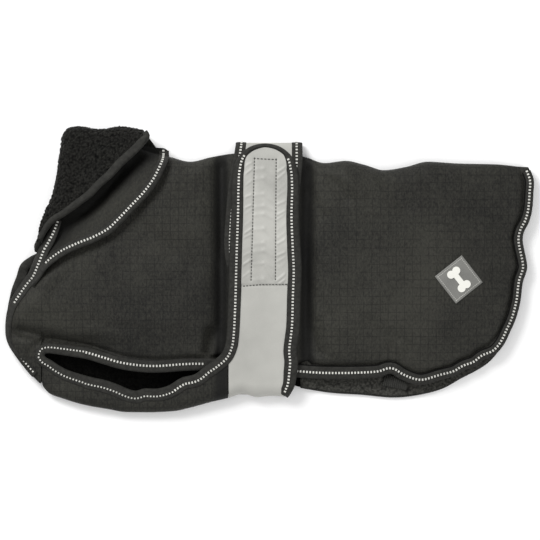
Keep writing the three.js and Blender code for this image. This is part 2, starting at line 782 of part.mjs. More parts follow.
function addHalves() {
  const leftGrid = raised(halfPlan({
    lower: LOWER_EDGE,
    upper: UPPER_EDGE,
    tail: TAIL_EDGE,
    columns: [
      -295.6, ...THROAT_COLUMNS, ...SEAM_COLUMNS, ...evenColumns(-246, -216, 5),
      ...evenColumns(-204, LEFT_JOIN.front, 16), ...evenColumns(LEFT_JOIN.rear, 262, 22),
    ],
    shares: crowded(13, 0.2, 0.95),
  }), coatTop);
  const leftNormals = heightNormals(leftGrid, coatTop, { foldAt: "end" });
  const join = leftGrid.findIndex((line) => line[0].x > LEFT_JOIN.front + 0.01);
  addWall("left_front", leftGrid.slice(0, join), leftNormals.slice(0, join), COAT_WALL, -1, RIPSTOP);
  addWall("left_rear", leftGrid.slice(join), leftNormals.slice(join), COAT_WALL, -1, RIPSTOP);
  const farTail = TAIL_EDGE.map((row) => ({ x: row.x - 1.5, y: row.y }));
  farTail[0] = FAR_LOWER_EDGE.at(-1);
  const rightGrid = raised(halfPlan({
    lower: FAR_LOWER_EDGE,
    upper: FAR_UPPER_EDGE,
    tail: farTail,
    columns: [-295.4, ...THROAT_COLUMNS, ...SEAM_COLUMNS, ...evenColumns(-245, -213, 3), ...evenColumns(-199, 262, 28)],
    shares: crowded(10, 0, 0.95),
  }), coatBottom);
  const rightTop = addWall(
    "right_half", rightGrid, heightNormals(rightGrid, coatBottom, { foldAt: "end" }).map(flipRise), COAT_WALL, 1, RIPSTOP,
  );
  return { left: surfaceOf(leftGrid), right: surfaceOf(rightTop) };
}

// Folds of the right half face outwards at the spine, and its other normals face up.
const flipRise = (line) => line.map((n) => (n.z === 0 ? n.clone().negate() : n));

// The chest piece between the front legs, folded along the belly.
function addChest() {
  const plan = (columns, shares, inset = 0) => columns.map((x) => shares.map((v) => ({
    x, y: mix(bellyFoldAt(x), chestEdgeAt(x) - inset, v),
  })));
  const span = [CHEST_SEAM.legX + 0.7, -52.4];
  const left = raised(plan(evenColumns(...span, 26), crowded(6, 0.9, 0)), girthTop);
  addWall("chest_left", left, heightNormals(left, girthTop, { foldAt: "start" }), COAT_WALL, -1, RIPSTOP);
  const right = raised(plan(evenColumns(...span, 20), crowded(5, 0.9, 0), FAR_CHEST_INSET), chestBottom);
  const normals = heightNormals(right, chestBottom, { foldAt: "start" })
    .map((line) => line.map((n, j) => (j === 0 ? n.negate() : n)));
  addWall("chest_right", right, normals, COAT_WALL, 1, RIPSTOP);
  return surfaceOf(left);
}

// The belt: the tab over the left side, and the back band that it fastens to.
function addBelt() {
  const low = evenColumns(-51, 18, 6).map((x) => ({ x, y: bellyFoldAt(x) }));
  const tab = raised(patchPlan({
    bottom: low,
    top: TAB_END,
    left: [low[0], { x: -51.3, y: -118 }, { x: -51.2, y: -98 }, ...BELT_LEFT_EDGE],
    right: [low.at(-1), ...BELT_RIGHT_EDGE.slice(0, -1).reverse()],
  }, { u: even(7), v: crowded(26, 0.7, 0.4) }), girthTop);
  addWall("belt_tab", tab, heightNormals(tab, girthTop, { foldAt: "start" }), BELT_WALL, -1, REFLECTIVE);

  const contour = (value) => {
    const points = BACK_BAND.map((row, i) => new THREE.Vector3(value(row, i), row.y, row.z));
    return new THREE.CatmullRomCurve3(points, false, "centripetal");
  };
  const [leftLine, rightLine] = [contour((row) => row.left), contour((row) => row.right)];
  const band = even(46).map((t) => even(3).map((share) => {
    const p = leftLine.getPoint(t).lerp(rightLine.getPoint(t), share);
    return p.setZ(Math.max(p.z, 0));
  }));
  addWall("back_band", band, gridNormals(band), BELT_WALL, 1, REFLECTIVE);
  return surfaceOf(tab);
}

// One half of the turned-down collar: its outer run up to the fold, then the run back into the neck
// opening, or straight on to the other half over the spine.
function collarGrid(freeEdge, section, shares) {
  const runShares = crowded(shares.run, 0, 0.95);
  const plan = patchPlan({
    bottom: freeEdge,
    top: COLLAR_FOLD,
    left: [freeEdge[0], COLLAR_FOLD[0]],
    right: [freeEdge.at(-1), COLLAR_FOLD.at(-1)],
  }, { u: even(shares.along), v: runShares });
  return plan.map((line, i) => {
    const opened = mix(0.35, 1, smooth(i / shares.along / 0.15));
    const closed = smooth((i / shares.along - COLLAR_OVER_SPINE.from) / COLLAR_OVER_SPINE.over);
    const outer = line.map(({ x, y }) => {
      const run = section.run > 20 ? mix(section.run - 8, section.run, smooth((y - 30) / 60)) : section.run;
      return new THREE.Vector3(x, y, mix(section.fold, run, rolled(fromCollarFold(x, y), section.radius)));
    });
    const [fold, before] = [outer.at(-1), outer.at(-4)];
    const inwards = new THREE.Vector3(before.x - fold.x, before.y - fold.y, 0).normalize();
    const back = even(4).slice(1).map((w) => {
      const inset = COLLAR_RETURN * w ** 1.5 * opened * (1 - closed);
      const z = mix(section.fold, section.back, Math.sin((Math.min(w * 1.6, 1) * Math.PI) / 2));
      return fold.clone().addScaledVector(inwards, inset)
        .setZ(mix(z, mix(section.fold, section.closedAt, w), closed));
    });
    return [...outer, ...back];
  });
}

// The collar: fleece inside, shell outside, both turned down over the coat's shoulders.
function addCollar(onCoat) {
  const fleece = collarGrid(COLLAR_FREE_EDGE, COLLAR_LEFT, { along: 26, run: 8 });
  addWall("fleece_collar", fleece, gridNormals(fleece), COLLAR_FLEECE, -1, FLEECE);
  const hidden = collarGrid(HIDDEN_COLLAR_EDGE, COLLAR_RIGHT, { along: 20, run: 6 });
  addWall("collar_right", hidden, gridNormals(hidden), PRESSED_FLEECE, 1, FLEECE);
  const shell = patchPlan({
    bottom: SHELL_COLLAR_EDGE,
    top: SHELL_COLLAR_INSIDE,
    left: [SHELL_COLLAR_EDGE[0], SHELL_COLLAR_INSIDE[0]],
    right: SHELL_COLLAR_TOP,
  }, { u: crowded(22, 0, 0.6), v: even(5) });
  const shellTop = addDraped("shell_collar", shell, onCoat, COLLAR_SHELL, RIPSTOP, shellLift);
  return { fleece: surfaceOf(fleece.map((line) => line.slice(0, 9))), shell: surfaceOf(shellTop) };
}

// The tapes that bind the edges.
function addTapes({ onCoat, onChest, onBelt, onCollar }) {
  const hem = [{ x: -254, y: -92.6 }, ...HEM, ...TAIL_EDGE.slice(1, -1), { x: 292.4, y: 112 }];
  addDraped("hem_tape", tapePlan(hem, { side: LEFT_HAND }), onCoat, TAPE_WALL, TAPE, (x) => (x < -246 ? 2 : 1) * SEAM);
  const throat = [{ x: -266, y: -119.6 }, ...NECK_EDGE.slice(2, 14)];
  addDraped("neck_tape", tapePlan(throat, { side: RIGHT_HAND }), onCoat, TAPE_WALL, TAPE);
  const chest = [{ x: -249.6, y: -99.8 }, ...CHEST_EDGE.slice(1)];
  addDraped("chest_tape", tapePlan(chest, { side: RIGHT_HAND }), onChest, TAPE_WALL, TAPE);
  const belt = [{ x: -50.6, y: -93 }, ...BELT_LEFT_EDGE, ...TAB_END.slice(1), ...BELT_RIGHT_EDGE.slice(1, -1)];
  addDraped("belt_tape", tapePlan(belt, { side: RIGHT_HAND, across: 3 }), onBelt, TAPE_WALL, TAPE);
  const narrow = { side: LEFT_HAND, width: 9, across: 2 };
  addDraped("shell_collar_tape", tapePlan(SHELL_COLLAR_EDGE, narrow), onCollar.shell, TAPE_WALL, TAPE, () => 0.8);
  addDraped("fleece_collar_tape", tapePlan(COLLAR_FREE_EDGE.slice(0, -1), narrow), onCollar.fleece, TAPE_WALL, TAPE);
}

// The fleece lining, where it shows below the hem, and the plain tape on its edge.
function addLining(onRightHalf) {
  const shown = FAR_LOWER_EDGE.filter((row) => row.x > 30);
  const lower = tapePlan(shown, { side: LEFT_HAND, width: 9.6, across: 1 }).map((line) => line[1]);
  const upper = lower.map((p) => ({ x: p.x - 4, y: p.y + 36 }));
  const plan = patchPlan({
    bottom: lower,
    top: upper,
    left: [lower[0], upper[0]],
    right: [lower.at(-1), upper.at(-1)],
  }, { u: even(20), v: even(2) });
  addDraped("rear_lining", plan, onRightHalf, LINING_WALL, FLEECE);
  addDraped("lining_tape", tapePlan(shown, { side: LEFT_HAND, width: 9, across: 1 }), onRightHalf, TAPE_WALL, TAPE);
}

// The reflective patch on the flank and the folded loop of webbing at the hem.
function addSmallPieces(onCoat) {
  const turned = (piece, a, b) => {
    const [cos, sin] = [Math.cos(piece.turn), Math.sin(piece.turn)];
    return { x: piece.x + a * cos - b * sin, y: piece.y + a * sin + b * cos };
  };
  const cells = even(6).map((s) => even(6).map((t) =>
    turned(PATCH, (s - 0.5) * PATCH.side, (t - 0.5) * PATCH.side)));
  addDraped("flank_patch", cells, onCoat, PATCH_WALL, PATCH_CLOTH);

  const { length, width, low } = HEM_LOOP;
  const face = (inset) => even(2).map((s) => [-0.5, -0.42, 0, 0.5].map((t) => {
    const { x, y } = turned(HEM_LOOP, (s - 0.5) * length, t * width);
    return new THREE.Vector3(x, y, low + (t < -0.45 ? mix(LOOP_WALL, inset, 0.35) : inset));
  }));
  addPiece("hem_loop", closedGeometry(face(2 * LOOP_WALL), face(0)), WEBBING);
}

const onHalves = addHalves();
const onChest = addChest();
const onBelt = addBelt();
const onCollar = addCollar(onHalves.left);
addTapes({ onCoat: onHalves.left, onChest, onBelt, onCollar });
addLining(onHalves.right);
addSmallPieces(onHalves.left);

export default coat;
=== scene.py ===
"""A dog's winter coat, buckled shut, folded along its spine and laid flat on its right side.

Everything is worked out in millimetres and becomes metres only when a mesh is made. X runs from
the neck to the tail, Y from the belly to the spine fold, Z up from the surface the coat lies on.
"""

import logging
import math
from dataclasses import dataclass, field
from enum import Enum
from typing import Callable, Optional, Sequence

import bmesh
import bpy
import numpy as np
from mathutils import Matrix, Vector, noise

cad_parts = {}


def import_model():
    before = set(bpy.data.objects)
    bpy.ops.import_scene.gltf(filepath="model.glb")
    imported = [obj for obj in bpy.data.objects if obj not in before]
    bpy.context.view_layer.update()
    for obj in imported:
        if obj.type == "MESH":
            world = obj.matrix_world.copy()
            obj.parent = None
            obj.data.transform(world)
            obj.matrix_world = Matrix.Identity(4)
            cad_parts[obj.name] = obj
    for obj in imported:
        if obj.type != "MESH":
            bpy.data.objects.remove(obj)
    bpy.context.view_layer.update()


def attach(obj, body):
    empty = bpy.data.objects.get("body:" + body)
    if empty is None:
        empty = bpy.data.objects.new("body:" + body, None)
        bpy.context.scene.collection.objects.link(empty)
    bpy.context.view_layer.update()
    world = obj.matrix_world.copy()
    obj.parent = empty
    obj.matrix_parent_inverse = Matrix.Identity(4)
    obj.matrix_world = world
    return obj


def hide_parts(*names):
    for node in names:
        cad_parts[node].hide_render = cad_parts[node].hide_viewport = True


LOG = logging.getLogger("dog_coat")
MM = 0.001
Table = Sequence[Sequence[float]]
Array = np.ndarray
Height = Callable[[Array, Array], Array]

# Cloth thicknesses, heights of the folds, and how far the folded collar and the back band lift
# the coat off the surface, in millimetres.
COAT_WALL = 3.0
BELT_WALL = 2.0
TAPE_WALL = 1.3
SHELL_COLLAR_WALL = 2.0
PRESSED_FLEECE = 4.0
SEAM = 0.5
TAPE_WIDTH = 11.0
SPINE_FOLD_HEIGHT = 7.5
NECK_FOLD_HEIGHT = 12.0
BELLY_FOLD_HEIGHT = 7.4
BELLY_FOLD_RADIUS = 15.0
NECK_CROWN = 20.0
COLLAR_LIFT = 5.1
BELT_LIFT = 2.6
# The fleece collar: height of its outer run and of its fold, how much lower the run lies at the
# neck, and the radius of the fold's roll in plan.
FLEECE_RUN, FLEECE_FOLD, FLEECE_SLOPE, FLEECE_ROLL = 34.0, 25.0, 8.0, 14.0

# The spine fold, seen from above. Columns: x, y.
SPINE = (
    (-216, 139), (-200, 142), (-176, 142), (-152, 138), (-132, 132), (-111, 127), (-89, 122),
    (-66, 127), (-42, 131), (-10, 133), (22, 131), (41, 127), (62, 120.5), (86, 123), (107, 118.5),
    (129, 112.5), (153, 116), (178, 122), (213, 120), (255, 119), (291, 116),
)
# Height of the left half along its middle. Columns: x, z.
CROWN = (
    (-300, 19), (-262, 24), (-215, 27), (-150, 28), (-105, 26), (-72, 20), (-52, 15), (-8, 14.6),
    (38, 15), (58, 19), (95, 24.5), (170, 25), (235, 20), (275, 15.5), (300, 14),
)
# Height of the left half at its hem. Columns: x, z.
HEM_HEIGHT = (
    (-300, 11), (-258, 13), (-225, 16), (-150, 19), (-105, 17.5), (-72, 13.2), (-8, 12.8), (50, 13),
    (130, 14), (230, 13), (300, 12.5),
)
# The left half's throat, seam to the chest piece, leg opening and hem. Columns: x, y.
LOWER_EDGE = (
    (-295.6, -74), (-292.5, -84), (-287, -93), (-279, -104), (-270, -115), (-263, -122.5),
    (-256.8, -127.4), (-256.2, -96.6), (-252, -92.4), (-243, -93), (-223, -96), (-205, -99),
    (-188, -104), (-169, -109.5), (-147, -113), (-126, -114), (-89, -112), (-50, -112.5), (0, -117),
    (30, -119.5), (61, -121.5), (100, -121), (124, -119), (136, -115.5), (146, -121), (158, -126),
    (171, -128), (193, -122), (209, -117.5), (219, -111.5), (231, -107), (240, -100), (253, -94),
    (262, -84),
)
# The left half's neck edge, then the spine fold. Columns: x, y.
UPPER_EDGE = (
    (-295.6, -56), (-293.5, -44), (-289, -32), (-277, -13), (-270, -4), (-263, 11), (-257, 26),
    (-247, 42), (-239, 58), (-232, 76), (-226, 98), (-221, 122), *SPINE,
)
# The same lower edge of the right half, which lies a little further out. Columns: x, y.
FAR_LOWER_EDGE = (
    (-295.4, -76), (-291, -86), (-284, -97), (-272, -112), (-256.8, -126.4), (-256.2, -101),
    (-246, -105), (-226, -116.5), (-201, -124), (-169, -133), (-150, -139.5), (-126, -137),
    (-98, -124.5), (-72, -112), (-56, -101), (-44, -101), (-20, -108), (2, -120), (35, -132),
    (68, -137.5), (105, -140), (141, -143), (169, -140), (195, -133), (216, -121.5), (236, -111),
    (248, -102.5), (262, -86),
)
# The right half's neck edge, then the spine fold. Columns: x, y.
FAR_UPPER_EDGE = (
    (-295.4, -54), (-294, -40), (-290, -24), (-284, -8), (-279, 6), (-269, 14), (-260, 19),
    (-248, 33), (-241, 48), (-234, 64), (-227, 86), (-222, 108), (-218, 126), (-213, 139),
    *SPINE[1:],
)
# The tail edge, from the hem to the spine fold. Columns: x, y.
TAIL_EDGE = (
    (262, -84), (270, -68), (276, -54), (281, -35), (283.5, -15), (288.5, 2), (288, 9), (283.5, 34),
    (285, 43), (290.5, 54), (294, 67), (295.6, 87), (296, 101), (291, 116),
)
# The chest piece's edge along the leg opening. Columns: x, y.
CHEST_EDGE = (
    (-254.6, -96.6), (-246, -102), (-237, -108), (-226, -113.5), (-201, -121), (-185, -124.5),
    (-169, -130), (-160, -134), (-150, -136.5), (-141, -134), (-126, -134), (-113, -130.5),
    (-98, -121.5), (-83, -117.5), (-72, -109), (-62, -102), (-53, -94),
)
# The belt's edge on the neck side. Columns: x, y.
BELT_LEFT_EDGE = (
    (-48.5, -84), (-47, -74), (-45, -32), (-44, 9), (-42, 60), (-41, 93),
)
# The round end of the belt's tab. Columns: x, y.
TAB_END = (
    (-41, 93), (-38.5, 116), (-32, 129), (-20, 138), (-5, 141), (10, 138), (22, 129), (29.5, 115),
    (32, 93),
)
# The belt's edge on the tail side. Columns: x, y.
BELT_RIGHT_EDGE = (
    (32, 93), (32, 60), (34, 22), (35, 0), (34, -31), (33, -64), (30, -91), (31, -102), (30, -115),
    (27, -130), (23, -138),
)
# The fold of the chest piece and the belt at the belly. Columns: x, y.
BELLY_FOLD = (
    (-257, -128.5), (-253, -134), (-247, -139.5), (-235, -144), (-208, -152), (-180, -157),
    (-162, -160), (-137, -160.3), (-108, -159), (-89, -155), (-67, -149), (-46, -144),
    (-30, -139.5), (-14, -143), (4, -141.5), (14, -142.5), (40, -142.5),
)
# Height of the chest piece above its fold. Columns: x, z.
CHEST_CROWN = (
    (-258, 12.5), (-225, 14.5), (-160, 15), (-110, 17), (-80, 19.4), (-44, 20),
)
# Height of the belt's tab. Columns: y, z.
BELT_CROWN = (
    (-145, 20), (-100, 20), (-60, 21.2), (0, 21.6), (93, 21.2), (118, 20.3), (130, 18.5),
    (138, 15.8), (141, 14.2),
)
# The back band, from under the tab, round the spine and under the coat.
# Columns: y, z, x of its neck side, x of its tail side.
BACK_BAND = (
    (4, 19.1, -47, 29), (22, 19, -49.5, 30), (40, 19, -49.5, 30.5), (66, 18.9, -47.5, 31),
    (93, 18.7, -45, 33.5), (110, 17.8, -42.5, 35), (122, 16.4, -40, 36), (131, 14.3, -38.5, 36),
    (138, 11.4, -37.5, 36), (142, 8.6, -37, 36), (143.6, 5.8, -37, 36), (142, 3, -37, 36),
    (138, 1, -37, 36), (131, 0, -37, 36), (90, 0, -38, 35), (30, 0, -40, 34), (-30, 0, -41, 33),
    (-90, 0, -43, 30), (-128, 0, -44.5, 26), (-135, 0.8, -45, 20), (-138.5, 2.6, -45.4, 18),
    (-140, 4.8, -45.6, 17),
)
# The fold where the collar turns down. Columns: x, y.
COLLAR_FOLD = (
    (-259.5, 31), (-256, 50), (-250, 67), (-243, 82), (-238, 102), (-235, 124), (-232.5, 141),
    (-231, 150), (-225, 157.5), (-214, 160), (-191, 156.8), (-165, 160), (-150, 158), (-141, 156),
)
# The fleece collar's free edge. Columns: x, y.
COLLAR_FREE_EDGE = (
    (-255, 33), (-248, 45), (-241, 53), (-227, 61.5), (-212, 72), (-197, 83), (-188, 92.5),
    (-175, 104), (-163, 117), (-152, 127), (-142, 137), (-134, 149),
)
# The free edge of the collar's right half, under the coat. Columns: x, y.
HIDDEN_COLLAR_EDGE = (
    (-250, 4), (-206, 46), (-163, 88), (-122, 130),
)
# The shell collar's free edge on the shoulder. Columns: x, y.
SHELL_COLLAR_EDGE = (
    (-249, 2), (-240, 9.5), (-227, 18), (-212, 25), (-193, 32.5), (-176, 42), (-165, 52.5),
    (-152, 66), (-136, 83), (-125, 98), (-118, 112), (-114, 123), (-114, 134),
)
# The shell collar's end at the spine. Columns: x, y.
SHELL_COLLAR_TOP = (
    (-114, 134), (-118, 136.5), (-128, 137.6), (-140, 140),
)
# The shell collar's edge under the fleece. Columns: x, y.
SHELL_COLLAR_INSIDE = (
    (-251, 33), (-236, 55), (-216, 77), (-193, 101), (-168, 124), (-140, 140),
)
# Broad folds of the upper side. Columns: x, y, to x, to y, width, rise.
FOLDS = (
    (-276, -70, -180, -86, 13, -5.5), (-64, -72, -63, -92, 9, -3.5), (-150, 40, -80, 10, 26, -3),
    (-110, -60, -78, -20, 20, 1.5), (66, 116, 104, 88, 9, 2), (62, 108, 84, 80, 10, -2.5),
    (128, 108, 150, 72, 16, -3), (96, -52, 150, -92, 16, -2), (60, -92, 54, -60, 9, -2.5),
    (138, -110, 146, -86, 8, 1.6), (278, -8, 252, -4, 9, -2.4), (274, 36, 252, 44, 10, -1.8),
)

# Parts of these edges, and the seam where the chest piece joins the throat.
NECK_EDGE = (*LOWER_EDGE[6::-1], *UPPER_EDGE[:13])
FAR_NECK_EDGE = (*FAR_LOWER_EDGE[4::-1], *FAR_UPPER_EDGE[:14])
HEM = LOWER_EDGE[8:]
SEAM_FRONT, THROAT_SEAM, SEAM_REAR = -256.8, -256.5, -256.2
SEAM_FOOT = -96.6

# Small creases of the upper side, each a trough or ridge from one point to another.
# Columns: x, y, to x, to y, width, rise.
CREASES = (
    (-232, -78, -186, -90, 5, -0.9), (-214, 8, -238, -22, 9, -0.8),
    (-206, -66, -150, -74, 9, 0.9), (-96, 96, -70, 60, 10, 0.9), (-86, 30, -62, 6, 8, -0.7),
    (-80, -30, -60, -60, 8, -0.8), (-104, -88, -70, -98, 6, 0.8), (-140, -96, -120, -80, 6, -0.6),
    (44, 90, 60, 60, 7, -0.9), (46, 40, 60, 10, 8, 0.7), (46, -20, 64, -50, 8, -0.8),
    (84, 112, 96, 84, 5, 1.0), (112, 108, 126, 80, 6, 0.9), (168, 112, 180, 84, 7, -0.9),
    (200, 112, 214, 92, 6, 0.6), (240, 110, 246, 84, 7, -0.7), (150, -108, 168, -84, 5, 0.9),
    (120, -110, 128, -92, 5, -0.8), (196, -104, 186, -82, 6, -0.8), (226, -92, 210, -72, 6, 0.7),
    (258, 64, 276, 60, 5, 0.7), (262, 18, 278, 22, 6, -0.6), (256, -34, 272, -40, 6, -0.7),
)

# Folds of the shell collar. Columns: x, y, to x, to y, width, rise.
COLLAR_CREASES = (
    (-240, 48, -198, 76, 22, -6.5), (-198, 76, -150, 124, 19, -6.0), (-194, 92, -177, 50, 9, -6.5),
    (-214, 44, -192, 36, 13, 2.4), (-146, 118, -164, 80, 14, 2.2),
    (-168, 114, -196, 84, 9, -3.0), (-232, 30, -214, 28, 8, -1.4), (-172, 62, -158, 74, 8, 1.6),
)

# Deeper creases of the upper side. Columns: x, y, to x, to y, width, rise.
DEEP_CREASES = (
    (-282, -68, -240, -79, 8, -5.2), (-240, -79, -196, -80, 8, -3.4), (-66, -70, -70, -92, 9, -8.5),
    (-268, -94, -250, -84, 6, 1.4), (-246, -6, -256, -40, 10, 1.6), (-150, 60, -110, 20, 14, -1.5),
    (48, -70, 52, -92, 7, -4.5), (134, -84, 140, -104, 5, -1.8), (146, -84, 152, -106, 6, 1.4),
    (206, -92, 196, -70, 7, -1.3), (236, -84, 226, -70, 6, 1.2), (270, 22, 254, 30, 5, -1.5),
    (262, -18, 276, -24, 5, 1.2), (90, -60, 130, -20, 16, 1.4), (70, 20, 64, 60, 10, -1.5),
)


def smooth(t: Array) -> Array:
    """Ease from 0 to 1 with level ends."""
    t = np.clip(t, 0.0, 1.0)
    return t * t * (3.0 - 2.0 * t)


def mix(a: Array, b: Array, share: Array) -> Array:
    """Blend from a to b."""
    return a + (b - a) * share


def rolled(distance: Array, radius: Array) -> Array:
    """Rise of a round-nosed fold, from 0 at its edge to 1 at one radius in from it."""
    return np.sqrt(np.maximum(0.0, 1.0 - (1.0 - np.clip(distance / radius, 0.0, 1.0)) ** 2))


def drooped(distance: Array, radius: float) -> Array:
    """Rise of an edge that only droops."""
    return 1.0 - (1.0 - np.clip(distance / radius, 0.0, 1.0)) ** 2


class Reader:
    """Smooth reading of a short table between its rows, by a monotone cubic."""

    def __init__(self, rows: Table, value: int = 1) -> None:
        """Work out the slopes.

        Args:
            rows: rows that rise in their first column.
            value: the column that is read.
        """
        self.keys = np.array([row[0] for row in rows], float)
        self.values = np.array([row[value] for row in rows], float)
        steps = np.diff(self.values) / np.diff(self.keys)
        self.slopes = np.zeros(len(rows))
        before, after = steps[:-1], steps[1:]
        same = before * after > 0
        total = np.where(same, before + after, 1.0)
        self.slopes[1:-1] = np.where(same, 2 * before * after / total, 0.0)

    def __call__(self, at: Array) -> Array:
        """Read the table at the given keys."""
        at = np.asarray(at, float)
        i = np.clip(np.searchsorted(self.keys, at, side="right") - 1, 0, len(self.keys) - 2)
        span = self.keys[i + 1] - self.keys[i]
        t = np.clip((at - self.keys[i]) / span, 0.0, 1.0)
        rise = self.values[i + 1] - self.values[i]
        a, b = self.slopes[i] * span, self.slopes[i + 1] * span
        square, cube = 3 * rise - 2 * a - b, a + b - 2 * rise
        return self.values[i] + a * t + square * t ** 2 + cube * t ** 3


class Curve:
    """A smooth curve through points, read by the share of its length."""

    def __init__(self, rows: Table, per_span: int = 24) -> None:
        """Sample a centripetal Catmull-Rom curve.

        Args:
            rows: the points, two or three numbers each.
            per_span: samples between two points.
        """
        p = np.array([tuple(row) for row in rows], float)
        p = np.vstack([2 * p[0] - p[1], p, 2 * p[-1] - p[-2]])
        t = np.linspace(0.0, 1.0, per_span, endpoint=False)[:, None]
        samples = []
        for a, b, c, d in zip(p[:-3], p[1:-2], p[2:-1], p[3:]):
            ab, bc, cd = (max(np.linalg.norm(v) ** 0.5, 1e-6) for v in (b - a, c - b, d - c))
            m1 = ((b - a) / ab - (c - a) / (ab + bc) + (c - b) / bc) * bc
            m2 = ((c - b) / bc - (d - b) / (bc + cd) + (d - c) / cd) * bc
            samples.append(
                (2 * t ** 3 - 3 * t ** 2 + 1) * b + (t ** 3 - 2 * t ** 2 + t) * m1
                + (3 * t ** 2 - 2 * t ** 3) * c + (t ** 3 - t ** 2) * m2
            )
        self.points = np.vstack([*samples, p[-2][None]])
        steps = np.linalg.norm(np.diff(self.points, axis=0), axis=1)
        self.along = np.concatenate([[0.0], np.cumsum(steps)])
        self.length = float(self.along[-1])

    def __call__(self, share: Array) -> Array:
        """Points at shares of the length."""
        at = np.clip(np.asarray(share, float), 0.0, 1.0) * self.length
        return np.stack([np.interp(at, self.along, column) for column in self.points.T], axis=-1)

    def beside(self, share: Array, reach: float = 2.0) -> Array:
        """Unit plan vectors to the left hand of the curve, eased over a reach in millimetres."""
        step = reach / self.length
        way = self(np.asarray(share) + step) - self(np.asarray(share) - step)
        left = np.stack([-way[..., 1], way[..., 0]], axis=-1)
        return left / np.maximum(np.linalg.norm(left, axis=-1, keepdims=True), 1e-9)


def bell(distance: Array, reach: float) -> Array:
    """A bell curve, 1 at no distance."""
    return np.exp(-(distance / reach) ** 2)


def paired(x: Array, y: Array) -> tuple:
    """Plan coordinates as two arrays of one shape."""
    return np.broadcast_arrays(np.asarray(x, float), np.asarray(y, float))


def from_segment(x: Array, y: Array, start: Sequence[float], end: Sequence[float]) -> Array:
    """Distance in plan from points to a straight line between two places."""
    dx, dy = end[0] - start[0], end[1] - start[1]
    across, up = x - start[0], y - start[1]
    t = np.clip((across * dx + up * dy) / (dx * dx + dy * dy), 0.0, 1.0)
    return np.hypot(across - t * dx, up - t * dy)


def distance_to(rows: Table) -> Height:
    """Distance in plan from points to a table of places joined by straight lines."""
    ends = np.array([row[:2] for row in rows], float)

    def measure(x: Array, y: Array) -> Array:
        """Distance from each point."""
        best = np.full(np.shape(x), np.inf)
        for start, end in zip(ends[:-1], ends[1:]):
            best = np.minimum(best, from_segment(x, y, start, end))
        return best

    return measure


def creases_at(rows: Table, x: Array, y: Array) -> Array:
    """Sum of the creases of a table at plan points."""
    total = np.zeros(np.shape(x))
    for ax, ay, bx, by, width, rise in rows:
        away = from_segment(x, y, (ax, ay), (bx, by)) / width
        total += rise * np.exp(-2 * away * away)
    return total


def ripple(x: Array, y: Array, scale: float, seed: float) -> Array:
    """Smooth repeatable noise, from -1 to 1, on plan points."""
    x, y = paired(x, y)
    flat = [noise.noise(Vector((a / scale, b / scale, seed))) for a, b in zip(x.ravel(), y.ravel())]
    return np.array(flat).reshape(x.shape)


